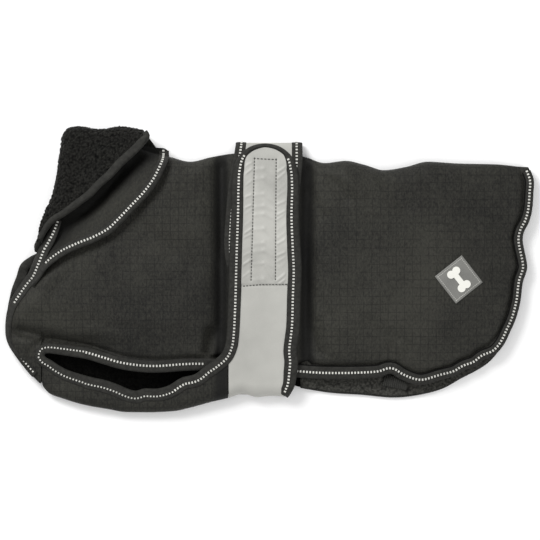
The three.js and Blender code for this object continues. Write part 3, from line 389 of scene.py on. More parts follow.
class Form:
    """The heights of the laid coat's surfaces over the plan, in millimetres.

    Attributes:
        collar_start, collar_way: where the turned-down collar starts at the spine, and the plan
            direction in which it lies from there.
        collar_foot: Y below which the collar doesn't reach.
        belt_reach, belt_ease: X between which the belt presses, and how gently that starts.
        hem_ease, tail_ease, neck_ease: widths over which the coat falls to those edges.
        tail_height: height at the tail edge.
        neck_heights: height of the neck edge at the throat and above it.
        neck_rise: what the folded collar adds to it near the spine.
        belt_dips, belt_swells: X of the dips beside the belt, and of the swells past them.
        tape_front, tape_rear: width of the hem tape at the belt and at the tail, past which the
            cloth puffs up.
        tail_tape: the same along the tail.
        deepest_fold: how far the shell collar's folds may press in.
    """

    collar_start = (-114.0, 133.0)
    collar_way = (-0.7, 0.715)
    collar_foot = -12.0
    belt_reach = (-66.0, 56.0)
    belt_ease = 14.0
    hem_ease = 60.0
    tail_ease = 46.0
    neck_ease = 26.0
    tail_height = 13.0
    neck_heights = (11.6, 14.8)
    neck_rise = 3.7
    belt_dips = (-55.0, 42.0)
    belt_swells = (-78.0, 66.0)
    tape_front, tape_rear, tail_tape = 14.4, 11.6, 10.2
    deepest_fold = -7.5

    def __init__(self) -> None:
        """Read the tables."""
        self.spine = Reader(SPINE)
        self.crown = Reader(CROWN)
        self.hem_height = Reader(HEM_HEIGHT)
        self.belly_fold = Reader(BELLY_FOLD)
        self.chest_edge = Reader(CHEST_EDGE)
        self.chest_crown = Reader(CHEST_CROWN)
        self.belt_crown = Reader(BELT_CROWN)
        self.from_neck = distance_to(NECK_EDGE)
        self.from_far_neck = distance_to(FAR_NECK_EDGE)
        self.from_tail = distance_to(TAIL_EDGE)
        self.from_hem = distance_to(LOWER_EDGE[6:])
        self.from_collar_fold = distance_to(Curve(COLLAR_FOLD, 6).points)
        self.from_fleece_edge = distance_to(COLLAR_FREE_EDGE)
        self.from_shell_edge = distance_to(SHELL_COLLAR_EDGE)

    def into_collar(self, x: Array, y: Array) -> Array:
        """Distance past the line along which the collar is turned down, towards the neck."""
        (start_x, start_y), (way_x, way_y) = self.collar_start, self.collar_way
        return np.minimum((x - start_x) * way_x + (y - start_y) * way_y, y - self.collar_foot)

    def under_belt(self, x: Array) -> Array:
        """1 where the belt presses on the coat, 0 beside it."""
        first, last = self.belt_reach
        return smooth((x - first) / self.belt_ease) * smooth((last - x) / self.belt_ease)

    @staticmethod
    def fold_height(x: Array) -> Array:
        """Height of the spine fold, which rises from the withers to the neck."""
        withers, length = -165, 60
        return mix(NECK_FOLD_HEIGHT, SPINE_FOLD_HEIGHT, smooth((x - withers) / length))

    def coat_top(self, x: Array, y: Array) -> Array:
        """Upper surface of the left half, with its creases."""
        x, y = paired(x, y)
        from_spine = self.spine(x) - y
        neck = smooth((self.into_collar(x, y) + 8) / 24)
        crown = mix(self.crown(x), NECK_CROWN, neck)
        side = mix(self.hem_height(x), crown, smooth(self.from_hem(x, y) / self.hem_ease))
        at_tail = mix(self.tail_height, side, smooth(self.from_tail(x, y) / self.tail_ease))
        inside = (1 - neck) * smooth(from_spine / 26)
        folded = at_tail + creases_at(FOLDS, x, y) * inside
        edge = mix(*self.neck_heights, smooth((y + 25) / 50))
        edge = edge + self.neck_rise * smooth((y - 50) / 40)
        at_neck = mix(edge, folded, drooped(self.from_neck(x, y), self.neck_ease))
        low = self.fold_height(x)
        radius = (at_neck - low) * 1.1 + 2.5 + 9 * self.under_belt(x)
        rise = rolled(from_spine, radius)
        loose = 1 - smooth(1 - np.abs(x + 8) / 52)
        fine = creases_at(CREASES, x, y) * smooth(from_spine / 12) * loose
        return mix(low, at_neck, rise) + fine

    def past_tapes(self, x: Array, y: Array) -> Array:
        """Distance in from the hem tape and the tail tape."""
        hem_tape = mix(self.tape_front, self.tape_rear, smooth((x - 90) / 90))
        return np.minimum(self.from_hem(x, y) - hem_tape, self.from_tail(x, y) - self.tail_tape)

    def dressed_top(self, x: Array, y: Array) -> Array:
        """Upper surface of the left half's cloth, dipped beside the belt and inside its tapes."""
        inside = smooth((self.spine(x) - y) / 16)
        bare = self.past_tapes(x, y)
        dip = sum(7.0 * bell(x - at, 7.0) for at in self.belt_dips)
        swell = sum(1.8 * bell(x - at, 12) for at in self.belt_swells) * smooth((bare + 1) / 6)
        over_leg = smooth((-160 - x) / 40)
        groove = (2.6 + 3.0 * over_leg) * bell(bare, 1.8 + 1.4 * over_leg)
        groove *= smooth((x + 266) / 12)
        puff = 2.0 * smooth(bare / 5) * (1 - smooth((bare - 8) / 22))
        free = smooth((bare + 1) / 8) * (1 - self.under_belt(x))
        uneven = 0.6 * ripple(x, y, 34.0, 3.1) + 0.28 * ripple(x, y, 13.0, 7.7)
        under_collar = 3.2 * bell(self.from_shell_edge(x, y), 9)
        rise = puff - dip + swell - under_collar + free * (uneven + creases_at(DEEP_CREASES, x, y))
        return self.coat_top(x, y) + inside * rise - groove + self.collar_folds(x, y)

    def collar_folds(self, x: Array, y: Array) -> Array:
        """Folds of the shell collar, which press into the coat below it."""
        past_line = smooth((self.into_collar(x, y) - 4) / 14)
        past_edge = smooth((self.from_shell_edge(x, y) - 8) / 12)
        folds = np.maximum(creases_at(COLLAR_CREASES, x, y), self.deepest_fold)
        return folds * (past_line * past_edge)

    def coat_bottom(self, x: Array, y: Array) -> Array:
        """Lower surface of the right half, lifted by the collar and the band under it."""
        x, y = paired(x, y)
        collar = COLLAR_LIFT * smooth((self.into_collar(x, y) + 22) / 16)
        rest = np.maximum(collar, BELT_LIFT * self.under_belt(x))
        curl = 1.7 * (1 - drooped(self.from_far_neck(x, y), 12)) * (1 - smooth((y - 10) / 40))
        low = rest + curl
        fold = self.fold_height(x) - SEAM
        return mix(fold, low, rolled(self.spine(x) - y, (fold - low) * 1.2 + 1.5))

    def girth_top(self, x: Array, y: Array) -> Array:
        """Upper surface of the chest piece and of the belt, which share the belly fold."""
        x, y = paired(x, y)
        crown = mix(self.chest_crown(x), self.belt_crown(y), smooth((x + 60) / 18))
        radius = np.minimum((crown - BELLY_FOLD_HEIGHT) * 1.2 + 1.5, BELLY_FOLD_RADIUS)
        return mix(BELLY_FOLD_HEIGHT, crown, rolled(y - self.belly_fold(x), radius))

    def chest_bottom(self, x: Array, y: Array) -> Array:
        """Lower surface of the chest piece's right half."""
        low = BELLY_FOLD_HEIGHT - 1.2
        return mix(low, 0.0, rolled(y - self.belly_fold(x), BELLY_FOLD_RADIUS * 0.6))

    def shell_collar_top(self, x: Array, y: Array) -> Array:
        """Upper surface of the shell collar, which stands off the coat along its free edge."""
        away = self.from_shell_edge(x, y)
        lift = 0.9 + 3.6 * (1 - smooth(away / 16))
        return self.coat_top(x, y) + SHELL_COLLAR_WALL + lift + self.collar_folds(x, y)

    def fleece_swell(self, x: Array, y: Array, z: Array) -> Array:
        """How much the fleece collar's outer run swells along its free edge."""
        height, reach, run_low, ease = 2.4, 22, 26, 6
        lift = height * (1 - smooth(self.from_fleece_edge(x, y) / reach))
        return lift * smooth((z - run_low) / ease)


FORM = Form()


# ---------------------------------------------------------------- grids and meshes

def even(count: int) -> Array:
    """Shares from 0 to 1 in equal steps."""
    return np.linspace(0.0, 1.0, count + 1)


def crowded(count: int, at_start: float, at_end: float) -> Array:
    """Shares from 0 to 1 that crowd towards the ends, each by a strength from 0 to 1."""
    t = even(count)
    start = mix(t, 1 - np.cos(t * math.pi / 2), at_start)
    end = mix(t, np.sin(t * math.pi / 2), at_end)
    return mix(start, end, t)


def half_plan(lower: Table, upper: Table, tail: Table, columns: Array, shares: Array) -> Array:
    """Plan points of one half of the coat, in columns from its lower to its upper edge.

    Args:
        lower: lower edge.
        upper: upper edge.
        tail: tail edge, which the last columns follow.
        columns: X of each column at the lower edge.
        shares: shares of each column.

    Returns:
        An array of columns by shares by 2.
    """
    lean_from, follow_from, seam_share = -60, 130, 0.35
    first, last = np.array(tail[0], float), np.array(tail[-1], float)
    x = np.asarray(columns, float)
    top_x = x + (last[0] - first[0]) * smooth((x - lean_from) / (first[0] - lean_from))
    low = np.stack([x, Reader(lower)(x)], axis=-1)
    high = np.stack([top_x, Reader(upper)(top_x)], axis=-1)
    hang = np.where(x < THROAT_SEAM, np.maximum(SEAM_FOOT - low[:, 1], 0.0), 0.0)
    low[:, 1] += hang
    plan = mix(low[:, None, :], high[:, None, :], shares[None, :, None])
    plan[..., 1] -= hang[:, None] * (1 - smooth(shares / seam_share))[None]
    bulge = Curve(tail)(shares) - mix(first, last, shares[:, None])
    follow = smooth((x - follow_from) / (first[0] - follow_from))
    return plan + follow[:, None, None] * bulge[None]


def patch_plan(bottom: Table, top: Table, left: Table, right: Table, u: Array, v: Array) -> Array:
    """Plan points between four edges that meet at the corners.

    Args:
        bottom: edge along u at v = 0.
        top: edge along u at v = 1.
        left: edge along v at u = 0.
        right: edge along v at u = 1.
        u: shares along the bottom and the top.
        v: shares along the sides.

    Returns:
        An array of u by v by 2.
    """
    b, t = Curve(bottom)(u)[:, None], Curve(top)(u)[:, None]
    l, r = Curve(left)(v)[None], Curve(right)(v)[None]
    uu, vv = u[:, None, None], v[None, :, None]
    corners = mix(mix(b[:1], b[-1:], uu), mix(t[:1], t[-1:], uu), vv)
    return mix(b, t, vv) + mix(l, r, uu) - corners


def raised(plan: Array, height: Height) -> Array:
    """Plan points with their heights."""
    return np.dstack([plan, height(plan[..., 0], plan[..., 1])])


def grid_normals(grid: Array) -> Array:
    """Unit normals of a grid of points."""
    normals = np.cross(np.gradient(grid, axis=0), np.gradient(grid, axis=1))
    return normals / np.maximum(np.linalg.norm(normals, axis=-1, keepdims=True), 1e-9)


def height_normals(grid: Array, height: Height, fold: Optional[Array] = None,
                   outwards: float = 1.0) -> Array:
    """Upward normals of a raised grid, level where it ends in a fold.

    Args:
        grid: the raised grid.
        height: its height.
        fold: mask of the points that lie on a fold.
        outwards: which way along Y the fold faces.

    Returns:
        Unit normals.
    """
    x, y = grid[..., 0], grid[..., 1]
    reach = 0.4
    slope_x = height(x + reach, y) - height(x - reach, y)
    slope_y = height(x, y + reach) - height(x, y - reach)
    normals = np.dstack([-slope_x / (2 * reach), -slope_y / (2 * reach), np.ones(x.shape)])
    normals /= np.linalg.norm(normals, axis=-1, keepdims=True)
    if fold is not None:
        normals[fold] = (0.0, outwards, 0.0)
    return normals


def inner_face(grid: Array, normals: Array, thickness: float) -> Array:
    """The other face of a wall, straight below or above it on gentle slopes."""
    steep = 1 - smooth((np.abs(normals[..., 2:]) - 0.45) / 0.3)
    step = normals * np.concatenate([steep, steep, np.ones(steep.shape)], axis=-1)
    return grid + step * (thickness / np.sum(step * normals, axis=-1, keepdims=True))


def run_along(points: Array, axis: int) -> Array:
    """Running length of a grid of points along one of its axes."""
    steps = np.diff(points, axis=axis, prepend=points.take([0], axis))
    return np.cumsum(np.linalg.norm(steps, axis=-1), axis=axis)


def belly_mask(grid: Array) -> Array:
    """Mask of the points of a grid's first row, which lies on the belly fold."""
    mask = np.zeros(grid.shape[:2], bool)
    mask[:, 0] = True
    return mask


def link(mesh: bpy.types.Mesh, name: str) -> bpy.types.Object:
    """Put a mesh into the scene as an object at the origin."""
    obj = bpy.data.objects.new(name, mesh)
    bpy.context.scene.collection.objects.link(obj)
    return obj


def finish_mesh(name: str, verts: Array, faces: list, slots: Sequence[bpy.types.Material],
                face_slots: Optional[Sequence[int]] = None,
                uvs: Optional[Array] = None, flat: bool = False) -> bpy.types.Object:
    """Make a closed mesh in metres with outward normals.

    Args:
        name: name of the piece.
        verts: points in millimetres.
        faces: tuples of point numbers.
        slots: its materials.
        face_slots: material number of each face.
        uvs: one pair for each point.
        flat: True for flat shading.

    Returns:
        The object.
    """
    mesh = bpy.data.meshes.new(name)
    mesh.from_pydata((np.asarray(verts) * MM).tolist(), [], faces)
    for material in slots:
        mesh.materials.append(material)
    if face_slots is not None:
        mesh.polygons.foreach_set("material_index", np.asarray(face_slots, np.int32))
    if uvs is not None:
        layer = mesh.uv_layers.new(name="UVMap")
        loops = np.empty(len(mesh.loops), np.int32)
        mesh.loops.foreach_get("vertex_index", loops)
        layer.data.foreach_set("uv", np.asarray(uvs, np.float32)[loops].ravel())
    bm = bmesh.new()
    bm.from_mesh(mesh)
    bmesh.ops.recalc_face_normals(bm, faces=bm.faces)
    if bm.calc_volume(signed=True) < 0:
        bmesh.ops.reverse_faces(bm, faces=bm.faces)
    bm.to_mesh(mesh)
    bm.free()
    mesh.polygons.foreach_set("use_smooth", np.full(len(mesh.polygons), not flat))
    mesh.update()
    return link(mesh, name)


def wall_object(name: str, outer: Array, inner: Array,
                slots: Sequence[bpy.types.Material]) -> bpy.types.Object:
    """A closed wall between two grids; the second material is on its inner face.

    Args:
        name: name of the piece.
        outer: points of the face that shows.
        inner: points of the other face.
        slots: one or two materials.

    Returns:
        The object, with a UV map of real lengths along and across.
    """
    rows, cols = outer.shape[:2]
    index = np.arange(rows * cols).reshape(rows, cols)
    a, b, c, d = index[:-1, :-1], index[1:, :-1], index[1:, 1:], index[:-1, 1:]
    front = np.stack([a, b, c, d], axis=-1).reshape(-1, 4)
    back = (front + rows * cols)[:, ::-1]
    ring = np.concatenate([index[:, 0], index[-1, 1:], index[-2::-1, -1], index[0, -2:0:-1]])
    rim_other = ring + rows * cols
    rim = np.stack([ring, rim_other, np.roll(rim_other, -1), np.roll(ring, -1)], axis=-1)
    faces = np.vstack([front, back, rim])
    slot = np.zeros(len(faces), int)
    if len(slots) > 1:
        slot[len(front):len(front) + len(back)] = 1
    uv = np.stack([run_along(outer, 0), run_along(outer, 1)], axis=-1).reshape(-1, 2) * MM
    verts = np.vstack([outer.reshape(-1, 3), inner.reshape(-1, 3)])
    return finish_mesh(name, verts, faces.tolist(), slots, slot, np.vstack([uv, uv]))


def sweep_object(name: str, sections: Array, slots: Sequence[bpy.types.Material],
                 dark: Sequence[int] = ()) -> bpy.types.Object:
    """A closed solid through rings of points.

    Args:
        name: name of the piece.
        sections: an array of stations by ring points by 3.
        slots: its materials.
        dark: which of the strips between ring points take the second material.

    Returns:
        The object, with a UV map of real lengths along and round.
    """
    count, ring = sections.shape[:2]
    index = np.arange(count * ring).reshape(count, ring)
    nxt = np.roll(index, -1, axis=1)
    sides = np.stack([index[:-1], index[1:], nxt[1:], nxt[:-1]], axis=-1).reshape(-1, 4)
    faces = sides.tolist() + [index[0].tolist(), index[-1, ::-1].tolist()]
    middle = np.repeat(run_along(sections, 0).mean(axis=1, keepdims=True), ring, axis=1)
    uv = np.stack([middle, run_along(sections, 1)], axis=-1).reshape(-1, 2) * MM
    slot = np.zeros((count - 1, ring), int)
    slot[:, list(dark)] = 1
    return finish_mesh(name, sections.reshape(-1, 3), faces, slots, [*slot.ravel(), 0, 0], uv)


# ---------------------------------------------------------------- finishes

class Tree:
    """Short-hand for building a node tree."""

    def __init__(self, tree: bpy.types.NodeTree) -> None:
        """Keep the tree."""
        self.tree = tree

    def add(self, kind: str, **values: object) -> bpy.types.Node:
        """Add a node and set its properties; a key that names an input sets its value."""
        node = self.tree.nodes.new(kind)
        for key, value in values.items():
            if hasattr(node, key):
                setattr(node, key, value)
            else:
                node.inputs[key.replace("_", " ")].default_value = value
        return node

    @staticmethod
    def socket(node: bpy.types.Node, identifier: str,
               is_input: bool = True) -> bpy.types.NodeSocket:
        """The socket of a node by its identifier."""
        sockets = node.inputs if is_input else node.outputs
        return next(socket for socket in sockets if socket.identifier == identifier)

    def join(self, start: bpy.types.NodeSocket, end: bpy.types.NodeSocket) -> None:
        """Link two sockets."""
        self.tree.links.new(start, end)

    def math(self, operation: str, a: object, b: object = None, c: object = None,
             clamp: bool = False) -> bpy.types.NodeSocket:
        """A Math node whose inputs are sockets or numbers."""
        node = self.tree.nodes.new("ShaderNodeMath")
        node.operation = operation
        node.use_clamp = clamp
        for socket, value in zip(node.inputs, (a, b, c)):
            if value is None:
                continue
            if isinstance(value, bpy.types.NodeSocket):
                self.join(value, socket)
            else:
                socket.default_value = value
        return node.outputs[0]

    def ramp(self, source: bpy.types.NodeSocket, low: float, high: float,
             to_low: float = 0.0, to_high: float = 1.0) -> bpy.types.NodeSocket:
        """Map a range smoothly onto another."""
        node = self.add("ShaderNodeMapRange", interpolation_type="SMOOTHSTEP")
        ends = {"From Min": low, "From Max": high, "To Min": to_low, "To Max": to_high}
        for key, value in ends.items():
            node.inputs[key].default_value = value
        self.join(source, node.inputs["Value"])
        return node.outputs["Result"]

    def colours(self, factor: bpy.types.NodeSocket,
                *stops: Sequence[float]) -> bpy.types.NodeSocket:
        """A colour ramp. Each stop is a place followed by a linear red, green and blue."""
        node = self.add("ShaderNodeValToRGB")
        points = node.color_ramp.elements
        while len(points) < len(stops):
            points.new(0.5)
        for point, (place, *rgb) in zip(points, stops):
            point.position = place
            point.color = (*rgb, 1.0)
        self.join(factor, node.inputs["Fac"])
        return node.outputs["Color"]


class Side(Enum):
    """Which hand of a curve a strip lies on."""

    LEFT = 1
    RIGHT = -1


class Hold(Enum):
    """How a sheet of cloth is held."""

    FOLDED = "folded"
    LAID = "laid"


def shade(level: float, warmth: float = 0.0) -> tuple:
    """A grey of a screen level, slightly warm or cool, as linear red, green and blue."""
    linear = ((level + 0.055) / 1.055) ** 2.4 if level > 0.04 else level / 12.92
    return (linear * (1 + 0.1 * warmth), linear, linear * (1 - warmth))


@dataclass(frozen=True)
class Finish:
    """What every finish has: its name, its roughness and its sheen."""

    name: str
    roughness: float = 0.8
    sheen: float = 0.0
    specular: float = 0.3

    def start(self) -> tuple:
        """Make the material with its shader.

        Returns:
            The material, its tree and its shader node.
        """
        material = bpy.data.materials.new(self.name)
        material.use_nodes = True
        tree = Tree(material.node_tree)
        shader = material.node_tree.nodes["Principled BSDF"]
        shader.inputs["Roughness"].default_value = self.roughness
        shader.inputs["Sheen Weight"].default_value = self.sheen
        shader.inputs["Sheen Roughness"].default_value = 0.4
        shader.inputs["Specular IOR Level"].default_value = self.specular
        return material, tree, shader

    @staticmethod
    def bump(tree: Tree, shader: bpy.types.Node, height: bpy.types.NodeSocket,
             distance: float, strength: float = 1.0) -> None:
        """Put a bump of a distance in metres on the shader."""
        node = tree.add("ShaderNodeBump", Strength=strength, Distance=distance)
        tree.join(height, node.inputs["Height"])
        tree.join(node.outputs["Normal"], shader.inputs["Normal"])


@dataclass(frozen=True)
class Ripstop(Finish):
    """Plain-woven shell cloth with a grid of thicker threads.

    Attributes:
        dark, light: screen levels of its tone.
        warmth: how far its greys lean to brown.
        pitch, line, depth: spacing in metres, share of it, and strength of the grid's threads.
        painted_shade_bands: bands of painted shade, where the cloth is darkened as if in shadow,
        each by the X and Y of its direction across, its distance along that, and its reach,
        in millimetres.
    """

    dark: float = 0.17
    light: float = 0.235
    warmth: float = 0.21
    pitch: float = 0.009
    line: float = 0.045
    depth: float = 0.55
    painted_shade_bands: tuple = ()

    def build(self) -> bpy.types.Material:
        """Make the material on the piece's own object coordinates."""
        material, tree, shader = self.start()
        place = tree.add("ShaderNodeTexCoord").outputs["Object"]
        warp = tree.add("ShaderNodeTexNoise", Scale=14.0, Detail=2.0)
        tree.join(place, warp.inputs["Vector"])
        parts = tree.add("ShaderNodeSeparateXYZ")
        tree.join(place, parts.inputs[0])
        shift = tree.math("MULTIPLY", warp.outputs["Fac"], 0.004)
        lines = []
        for axis in "XY":
            along = tree.math("ADD", parts.outputs[axis], shift)
            cell = tree.math("FRACT", tree.math("DIVIDE", along, self.pitch))
            away = tree.math("ABSOLUTE", tree.math("SUBTRACT", cell, 0.5))
            lines.append(tree.ramp(away, 0.5 - 2 * self.line, 0.5))
        grid = tree.math("MAXIMUM", *lines)
        cloth = tree.add("ShaderNodeTexNoise", Scale=9.0, Detail=5.0, Roughness=0.6)
        tree.join(place, cloth.inputs["Vector"])
        slub = tree.add("ShaderNodeVectorMath", operation="MULTIPLY")
        tree.join(place, slub.inputs[0])
        slub.inputs[1].default_value = (1.0, 0.5, 1.0)
        fine = tree.add("ShaderNodeTexNoise", Scale=520.0, Detail=4.0, Roughness=0.8)
        tree.join(slub.outputs["Vector"], fine.inputs["Vector"])
        broken = tree.add("ShaderNodeTexNoise", Scale=55.0, Detail=2.0)
        tree.join(place, broken.inputs["Vector"])
        grid = tree.math("MULTIPLY", grid, tree.ramp(broken.outputs["Fac"], 0.32, 0.56, 0.15, 1.0))
        grid = tree.math("MULTIPLY", grid, self.depth)
        # Painted shade: each band darkens the cloth as if in shadow, through the same dark blend as
        # the grid's threads.
        for a, b, middle, reach in self.painted_shade_bands:
            across = tree.math("MULTIPLY_ADD", parts.outputs["Y"], b, -middle * MM)
            away = tree.math("ABSOLUTE", tree.math("MULTIPLY_ADD", parts.outputs["X"], a, across))
            painted_shade = tree.ramp(away, reach * MM, 0.3 * reach * MM, 0.0, 0.9)
            grid = tree.math("MAXIMUM", grid, painted_shade)
        tone = tree.math("ADD", tree.math("MULTIPLY", cloth.outputs["Fac"], 0.4),
                         tree.math("MULTIPLY", fine.outputs["Fac"], 0.6))
        base = tree.colours(tone, (0.385, *shade(self.dark, self.warmth)),
                            (0.615, *shade(self.light, self.warmth)))
        dark = tree.add("ShaderNodeMix", data_type="RGBA", blend_type="MULTIPLY")
        tree.join(grid, tree.socket(dark, "Factor_Float"))
        tree.join(base, tree.socket(dark, "A_Color"))
        tree.socket(dark, "B_Color").default_value = (0.12, 0.12, 0.12, 1.0)
        tree.join(tree.socket(dark, "Result_Color", False), shader.inputs["Base Color"])
        weave = tree.math("SUBTRACT", tree.math("MULTIPLY", fine.outputs["Fac"], 1.2), grid)
        self.bump(tree, shader, weave, 0.0003, 0.7)
        return material


@dataclass(frozen=True)
class Fleece(Finish):
    """Curly sherpa fleece."""

    dark: float = 0.04
    light: float = 0.16
    curl: float = 260.0

    def build(self) -> bpy.types.Material:
        """Make the material on the piece's own object coordinates."""
        material, tree, shader = self.start()
        place = tree.add("ShaderNodeTexCoord").outputs["Object"]
        bend = tree.add("ShaderNodeTexNoise", Scale=180.0, Detail=3.0)
        tree.join(place, bend.inputs["Vector"])
        mixed = tree.add("ShaderNodeVectorMath", operation="MULTIPLY_ADD")
        tree.join(bend.outputs["Color"], mixed.inputs[0])
        mixed.inputs[1].default_value = (0.004, 0.004, 0.004)
        tree.join(place, mixed.inputs[2])
        curls = tree.add("ShaderNodeTexVoronoi", Scale=self.curl, feature="SMOOTH_F1")
        tree.join(mixed.outputs["Vector"], curls.inputs["Vector"])
        hair = tree.add("ShaderNodeTexNoise", Scale=1400.0, Detail=3.0)
        tree.join(place, hair.inputs["Vector"])
        depth = tree.math("SUBTRACT", 1.0, curls.outputs["Distance"], clamp=True)
        tone = tree.math("ADD", tree.math("MULTIPLY", depth, 0.75),
                         tree.math("MULTIPLY", hair.outputs["Fac"], 0.3))
        base = tree.colours(tone, (0.35, *shade(self.dark, 0.1)), (0.95, *shade(self.light, 0.12)))
        tree.join(base, shader.inputs["Base Color"])
        self.bump(tree, shader, tone, 0.0012, 0.8)
        return material


@dataclass(frozen=True)
class Tape(Finish):
    """Woven edge tape, ribbed across, on the strip's own UV map."""

    dark: float = 0.12
    light: float = 0.22
    rib: float = 0.0011

    def build(self) -> bpy.types.Material:
        """Make the material."""
        material, tree, shader = self.start()
        parts = tree.add("ShaderNodeSeparateXYZ")
        tree.join(tree.add("ShaderNodeTexCoord").outputs["UV"], parts.inputs[0])
        turns = tree.math("MULTIPLY", parts.outputs["X"], 2 * math.pi / self.rib)
        rib = tree.math("MULTIPLY_ADD", tree.math("SINE", turns), 0.5, 0.5)
        mottle = tree.add("ShaderNodeTexNoise", Scale=260.0, Detail=3.0)
        tree.join(tree.add("ShaderNodeTexCoord").outputs["Object"], mottle.inputs["Vector"])
        tone = tree.math("ADD", tree.math("MULTIPLY", rib, 0.35),
                         tree.math("MULTIPLY", mottle.outputs["Fac"], 0.65))
        base = tree.colours(tone, (0.25, *shade(self.dark, 0.12)), (0.8, *shade(self.light, 0.12)))
        tree.join(base, shader.inputs["Base Color"])
        self.bump(tree, shader, rib, 0.00025, 0.7)
        return material


@dataclass(frozen=True)
class Satin(Finish):
    """Smooth reflective cloth with a faint weave and soft cloudy wear."""

    low: float = 0.70
    high: float = 0.80

    def build(self) -> bpy.types.Material:
        """Make the material on the piece's own object coordinates."""
        material, tree, shader = self.start()
        place = tree.add("ShaderNodeTexCoord").outputs["Object"]
        cloud = tree.add("ShaderNodeTexNoise", Scale=22.0, Detail=4.0)
        tree.join(place, cloud.inputs["Vector"])
        weave = tree.add("ShaderNodeTexNoise", Scale=1500.0, Detail=2.0)
        tree.join(place, weave.inputs["Vector"])
        tone = tree.math("ADD", tree.math("MULTIPLY", cloud.outputs["Fac"], 0.7),
                         tree.math("MULTIPLY", weave.outputs["Fac"], 0.3))
        base = tree.colours(tone, (0.3, *shade(self.low, 0.07)), (0.7, *shade(self.high, 0.07)))
        tree.join(base, shader.inputs["Base Color"])
        self.bump(tree, shader, tone, 0.0002, 0.5)
        return material


class Palette:
    """The finishes of the coat."""

    def __init__(self) -> None:
        """Build each material once."""
        # Painted shade: dark bands on the shell cloth along both edges of the belt, where the cloth
        # lies in shade.
        shade_beside_belt = ((1, 0, -54.0, 12.0), (1, 0, 41.5, 12.0))
        # Painted shadow: a dark band on the collar facing along the fleece collar's free edge,
        # where its shadow falls.
        shadow_along_fleece = ((-0.674, 0.739, 196.0, 27.0),)
        self.shell = Ripstop("shell_ripstop", roughness=0.7, sheen=0.05, specular=0.25,
                             dark=0.045, light=0.19, painted_shade_bands=shade_beside_belt).build()
        self.facing = Ripstop("collar_facing", roughness=0.7, specular=0.2, dark=0.05, light=0.17,
                              depth=0.1, painted_shade_bands=shadow_along_fleece).build()
        self.fleece = Fleece("sherpa_fleece", roughness=0.95, sheen=0.15, specular=0.1,
                             dark=0.01, light=0.16, curl=430.0).build()
        self.lining = Fleece("lining_fleece", roughness=0.95, sheen=0.3, specular=0.1,
                             dark=0.12, light=0.30, curl=420.0).build()
        # Painted shade: the fleece lining again, made near black for the coat's inner faces, which
        # lie in shade inside the folded coat.
        self.inner = Fleece("inner_fleece_shaded", roughness=0.95, sheen=0.05, specular=0.05,
                            dark=0.004, light=0.05, curl=430.0).build()
        # Painted shadow: near black, for the strip along the hem tape's inner edge.
        self.thread = Satin("painted_tape_shadow", roughness=0.8, specular=0.1,
                            low=0.02, high=0.05).build()
        self.tape = Tape("edge_tape", roughness=0.8, specular=0.25,
                         dark=0.085, light=0.21).build()
        self.webbing = Tape("ribbed_webbing", roughness=0.8,
                            dark=0.11, light=0.2, rib=0.0024).build()
        self.belt = Satin("reflective_belt", roughness=0.5, specular=0.4,
                          low=0.575, high=0.71).build()
        self.patch = Satin("flank_patch_cloth", roughness=0.45, low=0.40, high=0.52).build()
        self.patch_thread = Satin("patch_thread", roughness=0.5, low=0.6, high=0.7).build()
        self.dash = Satin("reflective_yarn", roughness=0.5, low=0.66, high=0.84).build()
        self.belt_low = Satin("reflective_belt_low", roughness=0.5, specular=0.4,
                              low=0.62, high=0.69).build()
        self.stitch = Satin("belt_thread", roughness=0.7, low=0.2, high=0.3).build()
        self.motif = Satin("bone_motif", roughness=0.4, low=0.86, high=0.93).build()


# ---------------------------------------------------------------- stitches and tapes

LEAST_HEIGHT = 0.05


